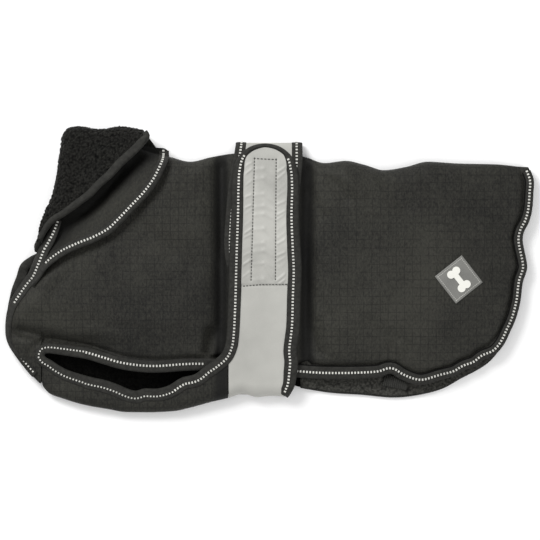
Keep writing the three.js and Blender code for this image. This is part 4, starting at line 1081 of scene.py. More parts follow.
@dataclass(frozen=True)
class Stitches:
    """A row of small raised blocks along a line: reflective dashes or sewn stitches.

    Attributes:
        pitch: distance from one to the next, in millimetres.
        along: size along the line.
        across: size across the line.
        height: thickness.
    """

    pitch: float = 3.6
    along: float = 1.75
    across: float = 2.4
    height: float = 0.6

    def tree(self, material: bpy.types.Material) -> bpy.types.NodeTree:
        """Build the Geometry Nodes tree, with named inputs for its sizes."""
        group = bpy.data.node_groups.new("stitches_along_line", "GeometryNodeTree")
        face = group.interface
        face.new_socket("Geometry", in_out="INPUT", socket_type="NodeSocketGeometry")
        for name, value in (("Pitch", self.pitch), ("Along", self.along), ("Across", self.across),
                            ("Height", self.height)):
            socket = face.new_socket(name, in_out="INPUT", socket_type="NodeSocketFloat")
            socket.default_value = value * MM
        face.new_socket("Geometry", in_out="OUTPUT", socket_type="NodeSocketGeometry")
        nodes = Tree(group)
        start, end = nodes.add("NodeGroupInput"), nodes.add("NodeGroupOutput")
        line = nodes.add("GeometryNodeMeshToCurve")
        spaced = nodes.add("GeometryNodeResampleCurve", mode="LENGTH")
        block = nodes.add("GeometryNodeMeshCube")
        size = nodes.add("ShaderNodeCombineXYZ")
        turn = nodes.add("FunctionNodeAlignRotationToVector", axis="X")
        upright = nodes.add("FunctionNodeAlignRotationToVector", axis="Z", pivot_axis="X")
        upright.inputs["Vector"].default_value = (0.0, 0.0, 1.0)
        placed = nodes.add("GeometryNodeInstanceOnPoints")
        real = nodes.add("GeometryNodeRealizeInstances")
        dressed = nodes.add("GeometryNodeSetMaterial")
        dressed.inputs["Material"].default_value = material
        for a, b in (
            (start.outputs["Geometry"], line.inputs["Mesh"]),
            (line.outputs["Curve"], spaced.inputs["Curve"]),
            (start.outputs["Pitch"], spaced.inputs["Length"]),
            (start.outputs["Along"], size.inputs["X"]),
            (start.outputs["Across"], size.inputs["Y"]),
            (start.outputs["Height"], size.inputs["Z"]),
            (size.outputs["Vector"], block.inputs["Size"]),
            (nodes.add("GeometryNodeInputTangent").outputs["Tangent"], turn.inputs["Vector"]),
            (spaced.outputs["Curve"], placed.inputs["Points"]),
            (block.outputs["Mesh"], placed.inputs["Instance"]),
            (turn.outputs["Rotation"], upright.inputs["Rotation"]),
            (upright.outputs["Rotation"], placed.inputs["Rotation"]),
            (placed.outputs["Instances"], real.inputs["Geometry"]),
            (real.outputs["Geometry"], dressed.inputs["Geometry"]),
            (dressed.outputs["Geometry"], end.inputs["Geometry"]),
        ):
            nodes.join(a, b)
        return group

    def build(self, name: str, lines: Sequence[Array],
              material: bpy.types.Material) -> bpy.types.Object:
        """Lay the blocks along lines and turn the result into a plain mesh.

        Args:
            name: name of the piece.
            lines: each an array of 3-D points in millimetres.
            material: finish of the blocks.

        Returns:
            The object.
        """
        verts, edges = [], []
        for points in lines:
            edges += [(len(verts) + i, len(verts) + i + 1) for i in range(len(points) - 1)]
            verts += (np.asarray(points) * MM).tolist()
        mesh = bpy.data.meshes.new(name + "_line")
        mesh.from_pydata(verts, edges, [])
        guide = link(mesh, name + "_guide")
        modifier = guide.modifiers.new("stitches", "NODES")
        modifier.node_group = self.tree(material)
        made = bpy.data.meshes.new_from_object(
            guide.evaluated_get(bpy.context.evaluated_depsgraph_get()))
        guide.modifiers.clear()
        bpy.data.objects.remove(guide)
        made.name = name
        return link(made, name)


@dataclass
class Ribbon:
    """Edge tape folded over a panel's edge, swept along the edge's curve.

    Attributes:
        name: name of the piece.
        rows: plan points of the panel's edge.
        side: the hand on which the panel lies.
        height: surface of the panel.
        width: width that shows, in millimetres.
        widths: plan points near the edge, each followed by the width that shows there.
        wall: thickness of the panel that it binds.
        tape: thickness of the tape itself.
        pucker: height of its small waves.
        painted_shadow_edge: width of a near-black strip along its inner edge, painted shadow of
        the tape's lifted edge, or 0.
        step: distance between its sections.
        curve: the edge's curve.
    """

    name: str
    rows: Table
    side: Side
    height: Height
    width: float = TAPE_WIDTH
    widths: Table = ()
    wall: float = COAT_WALL
    tape: float = TAPE_WALL
    pucker: float = 0.35
    painted_shadow_edge: float = 0.0
    step: float = 2.0
    curve: Curve = field(init=False)

    def __post_init__(self) -> None:
        """Make the edge's curve."""
        self.curve = Curve(self.rows)

    def stations(self, start: float = 0.0, end: float = 1.0) -> Array:
        """Shares of the length at which a section is set."""
        return mix(start, end, even(max(8, round((end - start) * self.curve.length / self.step))))

    def share_at(self, x: float, y: float) -> float:
        """Share of the length nearest to a plan point."""
        near = np.argmin(np.hypot(self.curve.points[:, 0] - x, self.curve.points[:, 1] - y))
        return float(self.curve.along[near] / self.curve.length)

    def width_at(self, share: Array) -> Array:
        """Width that shows."""
        if not self.widths:
            return np.full(np.shape(share), self.width)
        places = [self.share_at(x, y) for x, y, _ in self.widths]
        return np.interp(share, places, [row[2] for row in self.widths])

    def ground(self, share: Array, x: Array, y: Array) -> Array:
        """Height of the panel under a place along the tape."""
        return self.height(x, y)

    def point(self, share: Array, inset: Array, rise: float) -> Array:
        """Points at an inset from the edge and a rise over the panel's surface."""
        edge = self.curve(share)[..., :2]
        into = self.curve.beside(share, 3.0) * self.side.value
        plan = edge + into * inset[..., None]
        below = edge + into * np.maximum(inset, 0.0)[..., None]
        z = self.ground(share, below[..., 0], below[..., 1]) + rise
        return np.concatenate([plan, (z + self.wave(share, inset))[..., None]], axis=-1)

    def wave(self, share: Array, inset: Array) -> Array:
        """Small waves along the middle of the tape."""
        run = share * self.curve.length
        swell = np.clip(1 - np.abs(inset / self.width_at(share) - 0.5) * 2, 0, 1)
        waves = np.sin(run / 5.2 + 1.7 * np.sin(run / 37)) + 0.6 * np.sin(run / 2.3)
        return self.pucker * swell * waves

    def build(self, looks: "Palette") -> bpy.types.Object:
        """Sweep the folded section: over the panel, round its edge and back under it."""
        t, low = self.tape, -self.wall
        # Columns: share of the width that shows, millimetres further in, height over the panel.
        section = (
            (1, 0, -0.6), (1, -0.1, 0.3 * t), (1, -0.6, 0.8 * t), (1, -1.8, t), (0.7, 0, 1.15 * t),
            (0.45, 0, 1.2 * t), (0.2, 0, 1.15 * t), (0, 0.8, t), (0, -0.3, 0.6 * t),
            (0, -0.9, -0.2), (0, -1.1, 0.4 * low), (0, -1.0, low), (0, -0.2, low - 0.7),
            (0, 1.2, low - 0.9), (0.6, 0, low - 0.9), (0.62, 0, low + 0.3),
        )
        # Painted shadow: a near-black strip along the inner edge stands for the shadow of the
        # tape's lifted edge on the cloth.
        if self.painted_shadow_edge:
            section = ((1, self.painted_shadow_edge, -0.8), (1, self.painted_shadow_edge, 0.25), (1, 0.2, 0.35),
                       *section[1:])
        share = self.stations()
        width = self.width_at(share)
        rings = np.stack([self.point(share, part * width + further, rise)
                          for part, further, rise in section], axis=1)
        rings[..., 2] = np.maximum(rings[..., 2], LEAST_HEIGHT)
        dark = [0, 1, 2] if self.painted_shadow_edge else []
        return sweep_object(self.name, rings, [looks.tape, looks.thread], dark)

    def line(self, across: float, start: float = 0.0, end: float = 1.0) -> Array:
        """A line of points on the tape, at a share of the width that shows."""
        share = self.stations(start, end)
        crown, clear = 1.2 * self.tape, 0.25
        return self.point(share, across * self.width_at(share), crown + clear)


@dataclass
class SlotTape(Ribbon):
    """The tape round the leg opening: the coat's hem, the chest piece's edge, then up the belt."""

    turn: tuple = (-253.6, -96.0)

    def ground(self, share: Array, x: Array, y: Array) -> Array:
        """The coat's surface before the turn at the front of the opening, the girth's after it."""
        past = smooth((share - self.share_at(*self.turn)) * self.curve.length / 16 + 0.5)
        return mix(FORM.coat_top(x, y), FORM.girth_top(x, y), past)


@dataclass
class BandTape(Ribbon):
    """Tape along an edge of the back band, whose rows and opposite edge have heights."""

    opposite: Table = ()

    def point(self, share: Array, inset: Array, rise: float) -> Array:
        """Points at an inset from the edge and a rise over the band's outer face."""
        edge, other = self.curve(share), Curve(self.opposite)(share)
        into = other - edge
        into /= np.linalg.norm(into, axis=-1, keepdims=True)
        step = 2.0 / self.curve.length
        way = self.curve(share + step) - self.curve(share - step)
        out = np.cross(into, way) * self.side.value
        out /= np.maximum(np.linalg.norm(out, axis=-1, keepdims=True), 1e-9)
        up = rise + self.wave(share, inset)
        return edge + into * inset[..., None] + out * up[..., None]


# ---------------------------------------------------------------- the coat's sub-assemblies

def register(piece: bpy.types.Object, slot: str, *nodes: str) -> bpy.types.Object:
    """Bind a piece to the coat's one body and hide the solids that it replaces.

    Args:
        piece: the finished object.
        slot: not used.
        nodes: solids that it replaces.

    Returns:
        The same object.
    """
    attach(piece, "root")
    if nodes:
        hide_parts(*nodes)
    LOG.info("%s: %d faces", piece.name, len(piece.data.polygons))
    return piece


@dataclass
class Halves:
    """The two halves of the coat, folded along the spine.

    Attributes:
        left_columns, left_rows, right_columns, right_rows: cells of each half behind the seam.
        throat_columns: columns in front of the seam.
        tail_inset: how far the right half ends short of the tail edge.
    """

    left_columns: int = 300
    left_rows: int = 130
    right_columns: int = 190
    right_rows: int = 70
    throat_columns: int = 26
    tail_inset: float = 1.5

    def columns(self, edge: Table, count: int) -> Array:
        """X of the columns: closer together round the throat, with two at the chest seam."""
        throat = np.linspace(edge[0][0], SEAM_FRONT, self.throat_columns)
        return np.concatenate([throat, [SEAM_REAR], np.linspace(-254.5, edge[-1][0], count)])

    @staticmethod
    def spine_mask(grid: Array) -> Array:
        """Which points lie on the spine fold."""
        mask = np.zeros(grid.shape[:2], bool)
        x, y, near = grid[:, -1, 0], grid[:, -1, 1], 3
        mask[:, -1] = (x > SPINE[0][0] - 0.5) & (np.abs(FORM.spine(x) - y) < near)
        return mask

    def build(self, looks: Palette) -> None:
        """Build both halves."""
        plan = half_plan(LOWER_EDGE, UPPER_EDGE, TAIL_EDGE,
                         self.columns(LOWER_EDGE, self.left_columns),
                         crowded(self.left_rows, 0.2, 0.8))
        grid = raised(plan, FORM.dressed_top)
        normals = height_normals(grid, FORM.dressed_top, self.spine_mask(grid))
        left = wall_object("left_half_cloth", grid, inner_face(grid, normals, -COAT_WALL),
                           [looks.shell, looks.inner])
        register(left, "ripstop", "left_front", "left_rear")
        tail = [FAR_LOWER_EDGE[-1], *((x - self.tail_inset, y) for x, y in TAIL_EDGE[1:])]
        plan = half_plan(FAR_LOWER_EDGE, FAR_UPPER_EDGE, tail,
                         self.columns(FAR_LOWER_EDGE, self.right_columns),
                         crowded(self.right_rows, 0.0, 0.8))
        grid = raised(plan, FORM.coat_bottom)
        normals = height_normals(grid, FORM.coat_bottom, self.spine_mask(grid), -1.0)
        right = wall_object("right_half_cloth", grid, inner_face(grid, normals, COAT_WALL),
                            [looks.shell, looks.inner])
        register(right, "ripstop", "right_half")


@dataclass
class Chest:
    """The chest piece between the front legs, folded along the belly.

    Attributes:
        columns, rows: cells along and up its left side.
        reach: X of its ends.
        far_inset: how much lower its right side ends.
    """

    columns: int = 110
    rows: int = 34
    reach: tuple = (-255.5, -46.6)
    far_inset: float = 9.0

    def plan(self, columns: Array, shares: Array, inset: float) -> Array:
        """Plan points from the belly fold up to the leg opening."""
        low, high = FORM.belly_fold(columns), FORM.chest_edge(columns) - inset
        y = mix(low[:, None], high[:, None], shares[None])
        return np.dstack([np.broadcast_to(columns[:, None], y.shape), y])

    def build(self, looks: Palette) -> None:
        """Build both sides."""
        x = np.linspace(*self.reach, self.columns)
        grid = raised(self.plan(x, crowded(self.rows, 0.8, 0.0), 0.0), FORM.girth_top)
        normals = height_normals(grid, FORM.girth_top, belly_mask(grid), -1.0)
        inner = inner_face(grid, normals, -COAT_WALL)
        left = wall_object("chest_left_cloth", grid, inner, [looks.shell, looks.inner])
        register(left, "ripstop", "chest_left")
        grid = raised(self.plan(x, crowded(self.rows // 2, 0.8, 0.0), self.far_inset),
                      FORM.chest_bottom)
        normals = height_normals(grid, FORM.chest_bottom, belly_mask(grid), 1.0)
        inner = inner_face(grid, normals, COAT_WALL)
        right = wall_object("chest_right_cloth", grid, inner, [looks.shell, looks.inner])
        register(right, "ripstop", "chest_right")


@dataclass
class Belt:
    """The belt: the tab over the left side, and the back band that it fastens to.

    Attributes:
        columns, rows: cells across and along the tab.
        band_columns, band_rows: cells along and across the back band.
        left_stitch, right_stitch: places along the tab's two long lines of stitches.
        seam_y: Y of the seam below which the tab is smooth.
    """

    columns: int = 120
    rows: int = 330
    band_columns: int = 220
    band_rows: int = 24
    left_stitch: tuple = ((-16.8, 124.7), (-18.6, 60.0), (-20.6, -11.0))
    right_stitch: tuple = ((7.5, 123.5), (7.0, 60.0), (6.6, -10.5))
    seam_y: float = -16.5

    def wrinkles(self) -> list:
        """Creases of the tab's upper cloth beside and between its stitched lines."""
        # Columns: x, y, to x, to y, width, rise.
        rows = []
        for k in range(15):
            y = 118.0 - 9.1 * k + 2.2 * math.sin(k * 2.3)
            steep = 2.5 * math.sin(k * 1.1)
            near, far = 0.7 + 0.5 * math.sin(k * 1.7), 0.8 + 0.5 * math.cos(k * 1.3)
            rows.append((-32.0, y - 5.0 - steep, -20.0, y + 2.0, 1.9, near))
            rows.append((9.0, y - 9.0, 21.0, y - 1.0 + steep, 1.9, far))
        for k in range(10):
            y = 112.0 - 13.4 * k + 3.0 * math.sin(k * 1.9)
            bend = 3.0 + 3.5 * math.sin(k * 1.4)
            rows.append((-17.0, y, -6.0, y + 1.5, 3.2, 0.55))
            rows.append((-6.0, y + 1.5, 5.5, y - bend - 3, 3.4, 0.7))
        rows += [(-19.0, -2.0, -8.0, -14.0, 3.0, 0.8), (6.0, -12.0, -4.0, 4.0, 2.6, 0.9),
                 (8.0, -12.0, 18.0, -5.0, 2.4, 0.8)]
        return rows

    def tab_height(self, x: Array, y: Array) -> Array:
        """Upper surface of the tab, with its wrinkles between the stitched lines."""
        x, y = paired(x, y)
        upper = smooth((y - self.seam_y) / 1.4)
        left = np.interp(y, [row[1] for row in BELT_LEFT_EDGE], [row[0] for row in BELT_LEFT_EDGE])
        inside = smooth((x - left - 13) / 3) * smooth((19.5 - x) / 3) * smooth((132 - y) / 6)
        dent = sum(0.7 * bell(distance_to(row)(x, y), 1.6)
                   for row in (self.left_stitch, self.right_stitch))
        wrinkled = creases_at(self.wrinkles(), x, y) - dent
        top = FORM.girth_top(x, y) + upper * (0.5 + inside * wrinkled)
        soft = 0.45 * ripple(x, y, 26.0, 5.5) * (1 - upper) * inside
        return top + soft - 0.5 * bell(y - self.seam_y + 1, 1.2)

    def build(self, looks: Palette) -> None:
        """Build the tab and the band."""
        low_x = np.linspace(-45.6, 18, 7)
        low = [(x, float(FORM.belly_fold(x))) for x in low_x]
        left = [low[0], (-45.8, -118), (-46.0, -98), *BELT_LEFT_EDGE]
        right = [low[-1], *BELT_RIGHT_EDGE[-2::-1]]
        plan = patch_plan(low, TAB_END, left, right, even(self.columns),
                          crowded(self.rows, 0.5, 0.3))
        grid = raised(plan, self.tab_height)
        normals = height_normals(grid, self.tab_height, belly_mask(grid), -1.0)
        tab = wall_object("belt_tab_cloth", grid, inner_face(grid, normals, -BELT_WALL),
                          [looks.belt, looks.belt_low])
        middle = np.array([tuple(face.center) for face in tab.data.polygons])
        lower = (middle[:, 1] < self.seam_y * MM).astype(np.int32)
        tab.data.polygons.foreach_set("material_index", lower)
        self.sew(looks)
        register(tab, "reflective", "belt_tab")
        self.band(looks)

    @staticmethod
    def band_edges() -> tuple:
        """Points of the back band's two edges."""
        return tuple([(row[column], row[0], row[1]) for row in BACK_BAND] for column in (2, 3))

    def band(self, looks: Palette) -> None:
        """Build the back band."""
        near, far = (Curve(edge)(even(self.band_columns)) for edge in self.band_edges())
        band = near[:, None] + (far - near)[:, None] * even(self.band_rows)[None, :, None]
        band[..., 2] = np.maximum(band[..., 2], 0.0)
        inner = band + grid_normals(band) * BELT_WALL
        inner[..., 2] = np.maximum(inner[..., 2], 0.0)
        piece = wall_object("back_band_cloth", band, inner, [looks.belt])
        register(piece, "reflective", "back_band")

    def sew(self, looks: Palette) -> None:
        """Lay the dark stitches of the tab."""
        cross = [(-16.8, 124.7), (7.5, 123.5)]
        seam = [(-28.5, self.seam_y - 1.5), (-10, self.seam_y), (18.5, self.seam_y + 0.5)]
        lines = []
        for rows in (self.left_stitch, self.right_stitch, cross, seam):
            points = Curve(rows)(even(60))
            z = self.tab_height(points[:, 0], points[:, 1]) + 0.15
            lines.append(np.column_stack([points, z]))
        thread = Stitches(along=2.3, across=1.05, height=0.5)
        register(thread.build("tab_stitches", lines, looks.stitch), "tape")


@dataclass
class Collar:
    """The collar: fleece inside, shell outside, turned down over the shoulders.

    Attributes:
        along, across: cells of the fleece side.
        wall: thickness below its pile.
        furthest: Y that its curls may reach over the spine.
    """

    along: int = 210
    across: int = 124
    wall: float = 4.6
    furthest: float = 161.0

    @staticmethod
    def section_grid(free_edge: Table, run: float, slope: float, fold: float, back: float,
                     closed_at: float, radius: float, u: Array, count: int) -> Array:
        """One half of the collar: its run up to the fold, then back into the neck opening.

        Args:
            free_edge: the free edge in plan.
            run: height of the outer run.
            slope: how much lower the outer run lies at the neck.
            fold: height of the fold.
            back: height of the run back.
            closed_at: height at which it meets the other half over the spine.
            radius: radius of the roll in plan.
            u: shares along the collar.
            count: cells across it.

        Returns:
            A grid along the collar by across it.
        """
        v = crowded(260, 0.0, 1.0)
        plan = patch_plan(free_edge, COLLAR_FOLD, [free_edge[0], COLLAR_FOLD[0]],
                          [free_edge[-1], COLLAR_FOLD[-1]], u, v)
        x, y = plan[..., 0], plan[..., 1]
        crown = mix(run - slope, run, smooth((y - 30) / 60))
        z = mix(fold, crown, rolled(FORM.from_collar_fold(x, y), radius))
        outer = np.dstack([plan, z])
        opened = mix(0.35, 1.0, smooth(u / 0.15))[:, None]
        closed = smooth((u - 0.5) / 0.14)[:, None]
        w = even(60)[None, 1:]
        inwards = outer[:, np.searchsorted(v, 0.93), :2] - outer[:, -1, :2]
        inwards /= np.linalg.norm(inwards, axis=-1, keepdims=True)
        inset = 13 * w ** 1.5 * opened * (1 - closed)
        rise = mix(fold, back, np.sin(np.minimum(w * 1.6, 1) * math.pi / 2))
        level = mix(rise, mix(fold, closed_at, w), closed)
        place = outer[:, -1:, :2] + inwards[:, None] * inset[..., None]
        return Collar.evened(np.concatenate([outer, np.dstack([place, level])], axis=1), count)

    @staticmethod
    def evened(grid: Array, count: int) -> Array:
        """Each section again, in even steps of its own length."""
        out = np.empty((len(grid), count + 1, 3))
        for row, points in enumerate(grid):
            along = run_along(points, 0)
            at = even(count) * along[-1]
            out[row] = np.stack([np.interp(at, along, column) for column in points.T], axis=-1)
        return out

    @staticmethod
    def tufts(grid: Array, size: float, depth: float) -> Array:
        """Heights of curly tufts over a grid."""
        flat = grid.reshape(-1, 3)
        out = np.empty(len(flat))
        for i, (x, y, z) in enumerate(flat.tolist()):
            bend = noise.noise(Vector((x / 9, y / 9, z / 9)))
            at = Vector(((x + 2 * bend) / size, (y - 2 * bend) / size, z / size))
            away = noise.voronoi(at)[0][0]
            lump = 0.5 * noise.noise(Vector((x / 14, y / 14, 2.0)))
            out[i] = depth * max(0.0, 1 - away * away * 1.6) + lump
        return out.reshape(grid.shape[:2])

    def build(self, looks: Palette) -> None:
        """Build the fleece collar, the hidden half and the shell collar."""
        grid = self.section_grid(COLLAR_FREE_EDGE, run=FLEECE_RUN, slope=FLEECE_SLOPE,
                                 fold=FLEECE_FOLD, back=16.5, closed_at=14.4, radius=FLEECE_ROLL,
                                 u=even(self.along), count=self.across)
        grid[..., 2] += FORM.fleece_swell(*np.moveaxis(grid, -1, 0))
        normals = grid_normals(grid)
        pile = grid + normals * (self.tufts(grid, 2.7, 1.5) - 0.6)[..., None]
        inner = grid - normals * self.wall
        for face in (pile, inner):
            face[..., 1] = np.minimum(face[..., 1], self.furthest)
        fleece = wall_object("fleece_collar_pile", pile, inner, [looks.fleece])
        register(fleece, "fleece", "fleece_collar")
        hidden = self.section_grid(HIDDEN_COLLAR_EDGE, run=0, slope=0, fold=5.4, back=10.6,
                                   closed_at=14, radius=7, u=even(120), count=80)
        normals = grid_normals(hidden)
        rough = hidden - normals * (self.tufts(hidden, 3.4, 1.0) - 0.6)[..., None]
        rough[..., 2] = np.maximum(rough[..., 2], 0.0)
        piece = wall_object("collar_right_pile", rough, hidden + normals * (PRESSED_FLEECE - 0.4),
                            [looks.fleece])
        register(piece, "fleece", "collar_right")
        plan = patch_plan(SHELL_COLLAR_EDGE, SHELL_COLLAR_INSIDE,
                          [SHELL_COLLAR_EDGE[0], SHELL_COLLAR_INSIDE[0]], SHELL_COLLAR_TOP,
                          even(120), even(40))
        grid = raised(plan, FORM.shell_collar_top)
        shell = wall_object("shell_collar_cloth", grid, grid - (0, 0, SHELL_COLLAR_WALL),
                            [looks.facing])
        register(shell, "ripstop", "shell_collar")


BAND_TURN = 0.336  # share of the back band's length at which it turns under the coat
FAR_HEM = tuple(row for row in FAR_LOWER_EDGE if row[0] > 30)  # where the lining shows below


@dataclass
class Edging:
    """All edge tapes and the reflective dashes on them."""

    dash: Stitches = Stitches()
    fine_dash: Stitches = Stitches(across=1.7, along=1.6, height=0.35)

    def build(self, looks: Palette) -> None:
        """Build the tapes, then the dashes in one piece for each size."""
        rear, slot = self.hem_tape(), self.slot_tape()
        neck, shell = self.neck_tape(), self.shell_tape()
        lining = Ribbon("lining_tape_band", FAR_HEM, Side.LEFT, self.lining_top, width=2.2,
                        wall=2.8)
        far_neck = Ribbon("far_neck_tape", [row for row in FAR_NECK_EDGE if -76 < row[1] < 60],
                          Side.RIGHT, self.lining_top, width=10, wall=2.6, pucker=1.3)
        for tape, nodes in (
            (rear, ["hem_tape"]), (slot, ["chest_tape", "belt_tape"]), (neck, ["neck_tape"]),
            (shell, ["shell_collar_tape"]), (self.fleece_tape(), ["fleece_collar_tape"]),
            (lining, ["lining_tape"]), (far_neck, []),
        ):
            register(tape.build(looks), "tape", *nodes)
        end_left, end_right = slot.share_at(-31, 130), slot.share_at(24, 126)
        lip_front, chest_rear = slot.share_at(-205, -92), slot.share_at(-110, -127)
        lines = [rear.line(0.47), slot.line(0.53, slot.share_at(-75, -112), lip_front),
                 slot.line(0.53, chest_rear, end_left), slot.line(0.55, end_right, 0.995),
                 neck.line(0.5, neck.share_at(-290, -34), 0.985),
                 shell.line(0.5, shell.share_at(-246, 5)), *self.band_tapes(looks)]
        register(self.dash.build("reflective_dashes", lines, looks.dash), "reflective")
        small = [neck.line(0.6, 0.02, neck.share_at(-281, -101)),
                 slot.line(0.58, lip_front, chest_rear)]
        register(self.fine_dash.build("reflective_dashes_small", small, looks.dash), "reflective")

    @staticmethod
    def hem_tape() -> Ribbon:
        """The tape of the hem behind the belt and of the tail, narrower towards the spine."""
        return Ribbon("hem_tape_band", [(-40, -113.5), *HEM[9:], *TAIL_EDGE[1:-1], (292.4, 112)],
                      # The inner edge gets a strip of painted shadow.
                      Side.LEFT, FORM.coat_top, painted_shadow_edge=1.3,
                      widths=[(-40, -113.5, 13), (76, -121, 13), (136, -115.5, 11.8),
                              (171, -128, 10.5), (231, -107, 9.5), (262, -84, 8.6),
                              (281, -35, 8.4), (288.5, 2, 8.6), (283.5, 34, 8.8), (294, 67, 8.2),
                              (292.4, 112, 8)])

    @staticmethod
    def slot_tape() -> SlotTape:
        """The tape of the leg opening, which goes on round the belt's tab."""
        lip = [(-30, -114), *HEM[8:0:-1], (-249, -92.6), (-252.6, -93.6)]
        chest = [(-253.6, -96), (-252, -98.6), *CHEST_EDGE[1:]]
        belt = [*BELT_LEFT_EDGE[:-1], *TAB_END, *BELT_RIGHT_EDGE[1:], (19.6, -143.4)]
        return SlotTape("slot_and_belt_tape", [*lip, *chest, *belt], Side.RIGHT, FORM.girth_top,
                        wall=2.4,
                        widths=[(-75, -112, 13), (-205, -93, 12), (-249, -92.6, 10),
                                (-253.6, -96, 10), (-205, -115, 12), (-100, -113, 13),
                                (-48, -80, 13), (-44, 9, 13.3), (-41.5, 80, 12.6),
                                (-38.5, 116, 11), (-29, 132, 6), (-5, 141, 3.7), (19, 132, 4.8),
                                (29.5, 115, 11.3), (32, 80, 13), (34, 22, 14.5), (34, -31, 14.5),
                                (30, -115, 14.5), (23, -138, 11.5), (19.6, -143.4, 8)])

    @staticmethod
    def neck_tape() -> Ribbon:
        """The tape of the neck edge, wide at the top and rolled under along the throat."""
        return Ribbon("neck_tape_band", [(-266, -119.6), *NECK_EDGE[2:16]], Side.RIGHT,
                      Edging.neck_top,
                      widths=[(-266, -119.6, 7), (-279, -104, 6), (-292.5, -84, 5),
                              (-295.6, -60, 6.5), (-293.5, -44, 8), (-285, -26, 11),
                              (-270, -4, 12.5), (-252, 34, 12), (-239, 58, 7.5)])

    @staticmethod
    def shell_tape() -> Ribbon:
        """The tape of the shell collar's free edge, which runs out under the neck tape."""
        return Ribbon("shell_collar_tape_band", [(-264, -18), (-257, -9), *SHELL_COLLAR_EDGE],
                      Side.LEFT, FORM.shell_collar_top, wall=SHELL_COLLAR_WALL,
                      widths=[(-264, -18, 3), (-257, -9, 6), (-249, 2, 8.5), (-240, 9.5, 10),
                              (-114, 134, 10)])

    @staticmethod
    def fleece_tape() -> Ribbon:
        """The tape of the fleece collar's free edge, which tapers to a point at the neck."""
        return Ribbon("fleece_collar_tape_band",
                      [(-261.5, 20), (-259.5, 26), *COLLAR_FREE_EDGE, (-137, 155)],
                      Side.LEFT, Edging.fleece_top, wall=4.0, tape=1.6, pucker=0.5,
                      widths=[(-261.5, 20, 1.5), (-259.5, 26, 4), (-255, 33, 5), (-241, 53, 6),
                              (-197, 83, 7.2), (-163, 117, 8.2), (-141, 139, 8), (-137, 155, 5)])

    @staticmethod
    def neck_top(x: Array, y: Array) -> Array:
        """The coat's surface, or the shell collar's where the tape passes over it."""
        return FORM.coat_top(x, y) + (SHELL_COLLAR_WALL + 2.6) * smooth((y + 14) / 20)

    @staticmethod
    def band_tapes(looks: Palette) -> list:
        """Tape both edges of the back band.

        Returns:
            A line on each for its dashes.
        """
        left, right = Belt.band_edges()
        lines = []
        for name, rows, other, side, start in (
            ("band_left_tape", left, right, Side.LEFT, 0.03),
            ("band_right_tape", right, left, Side.RIGHT, 0.25),
        ):
            tape = BandTape(name, rows, side, FORM.girth_top, wall=BELT_WALL, tape=0.5, pucker=0.1,
                            opposite=other)
            register(tape.build(looks), "tape")
            lines.append(tape.line(0.5, start, BAND_TURN))
        return lines

    @staticmethod
    def fleece_top(x: Array, y: Array) -> Array:
        """Upper surface of the fleece collar."""
        crown = mix(FLEECE_RUN - FLEECE_SLOPE, FLEECE_RUN, smooth((y - 30) / 60))
        low = mix(FLEECE_FOLD, crown, rolled(FORM.from_collar_fold(x, y), FLEECE_ROLL))
        return low + FORM.fleece_swell(x, y, low) - 7.0 * (1 - smooth((y - 18) / 22))

    @staticmethod
    def lining_top(x: Array, y: Array) -> Array:
        """Inner face of the right half."""
        return FORM.coat_bottom(x, y) + COAT_WALL


@dataclass
class Lining:
    """The fleece lining of the right half, where it shows below the hem.

    Attributes:
        columns, rows: cells along and across it.
        inset: distance of its lower edge from the half's edge.
        depth: plan vector from its lower to its upper edge.
        pile: height of its pile.
        seat: room under it.
    """

    columns: int = 190
    rows: int = 34
    inset: float = 1.2
    depth: tuple = (-4.0, 42.0)
    pile: float = 1.5
    seat: float = 0.2

    def build(self, looks: Palette) -> None:
        """Build the strip of fleece."""
        edge = Curve(FAR_HEM)
        t = even(self.columns)
        lower = edge(t) + edge.beside(t) * self.inset
        plan = lower[:, None] + np.array(self.depth)[None, None] * even(self.rows)[None, :, None]
        grid = raised(plan, Edging.lining_top)
        pile = grid.copy()
        pile[..., 2] += self.pile + Collar.tufts(grid, 2.4, 1.0)
        strip = wall_object("rear_lining_pile", pile, grid + (0, 0, self.seat), [looks.lining])
        register(strip, "fleece", "rear_lining")


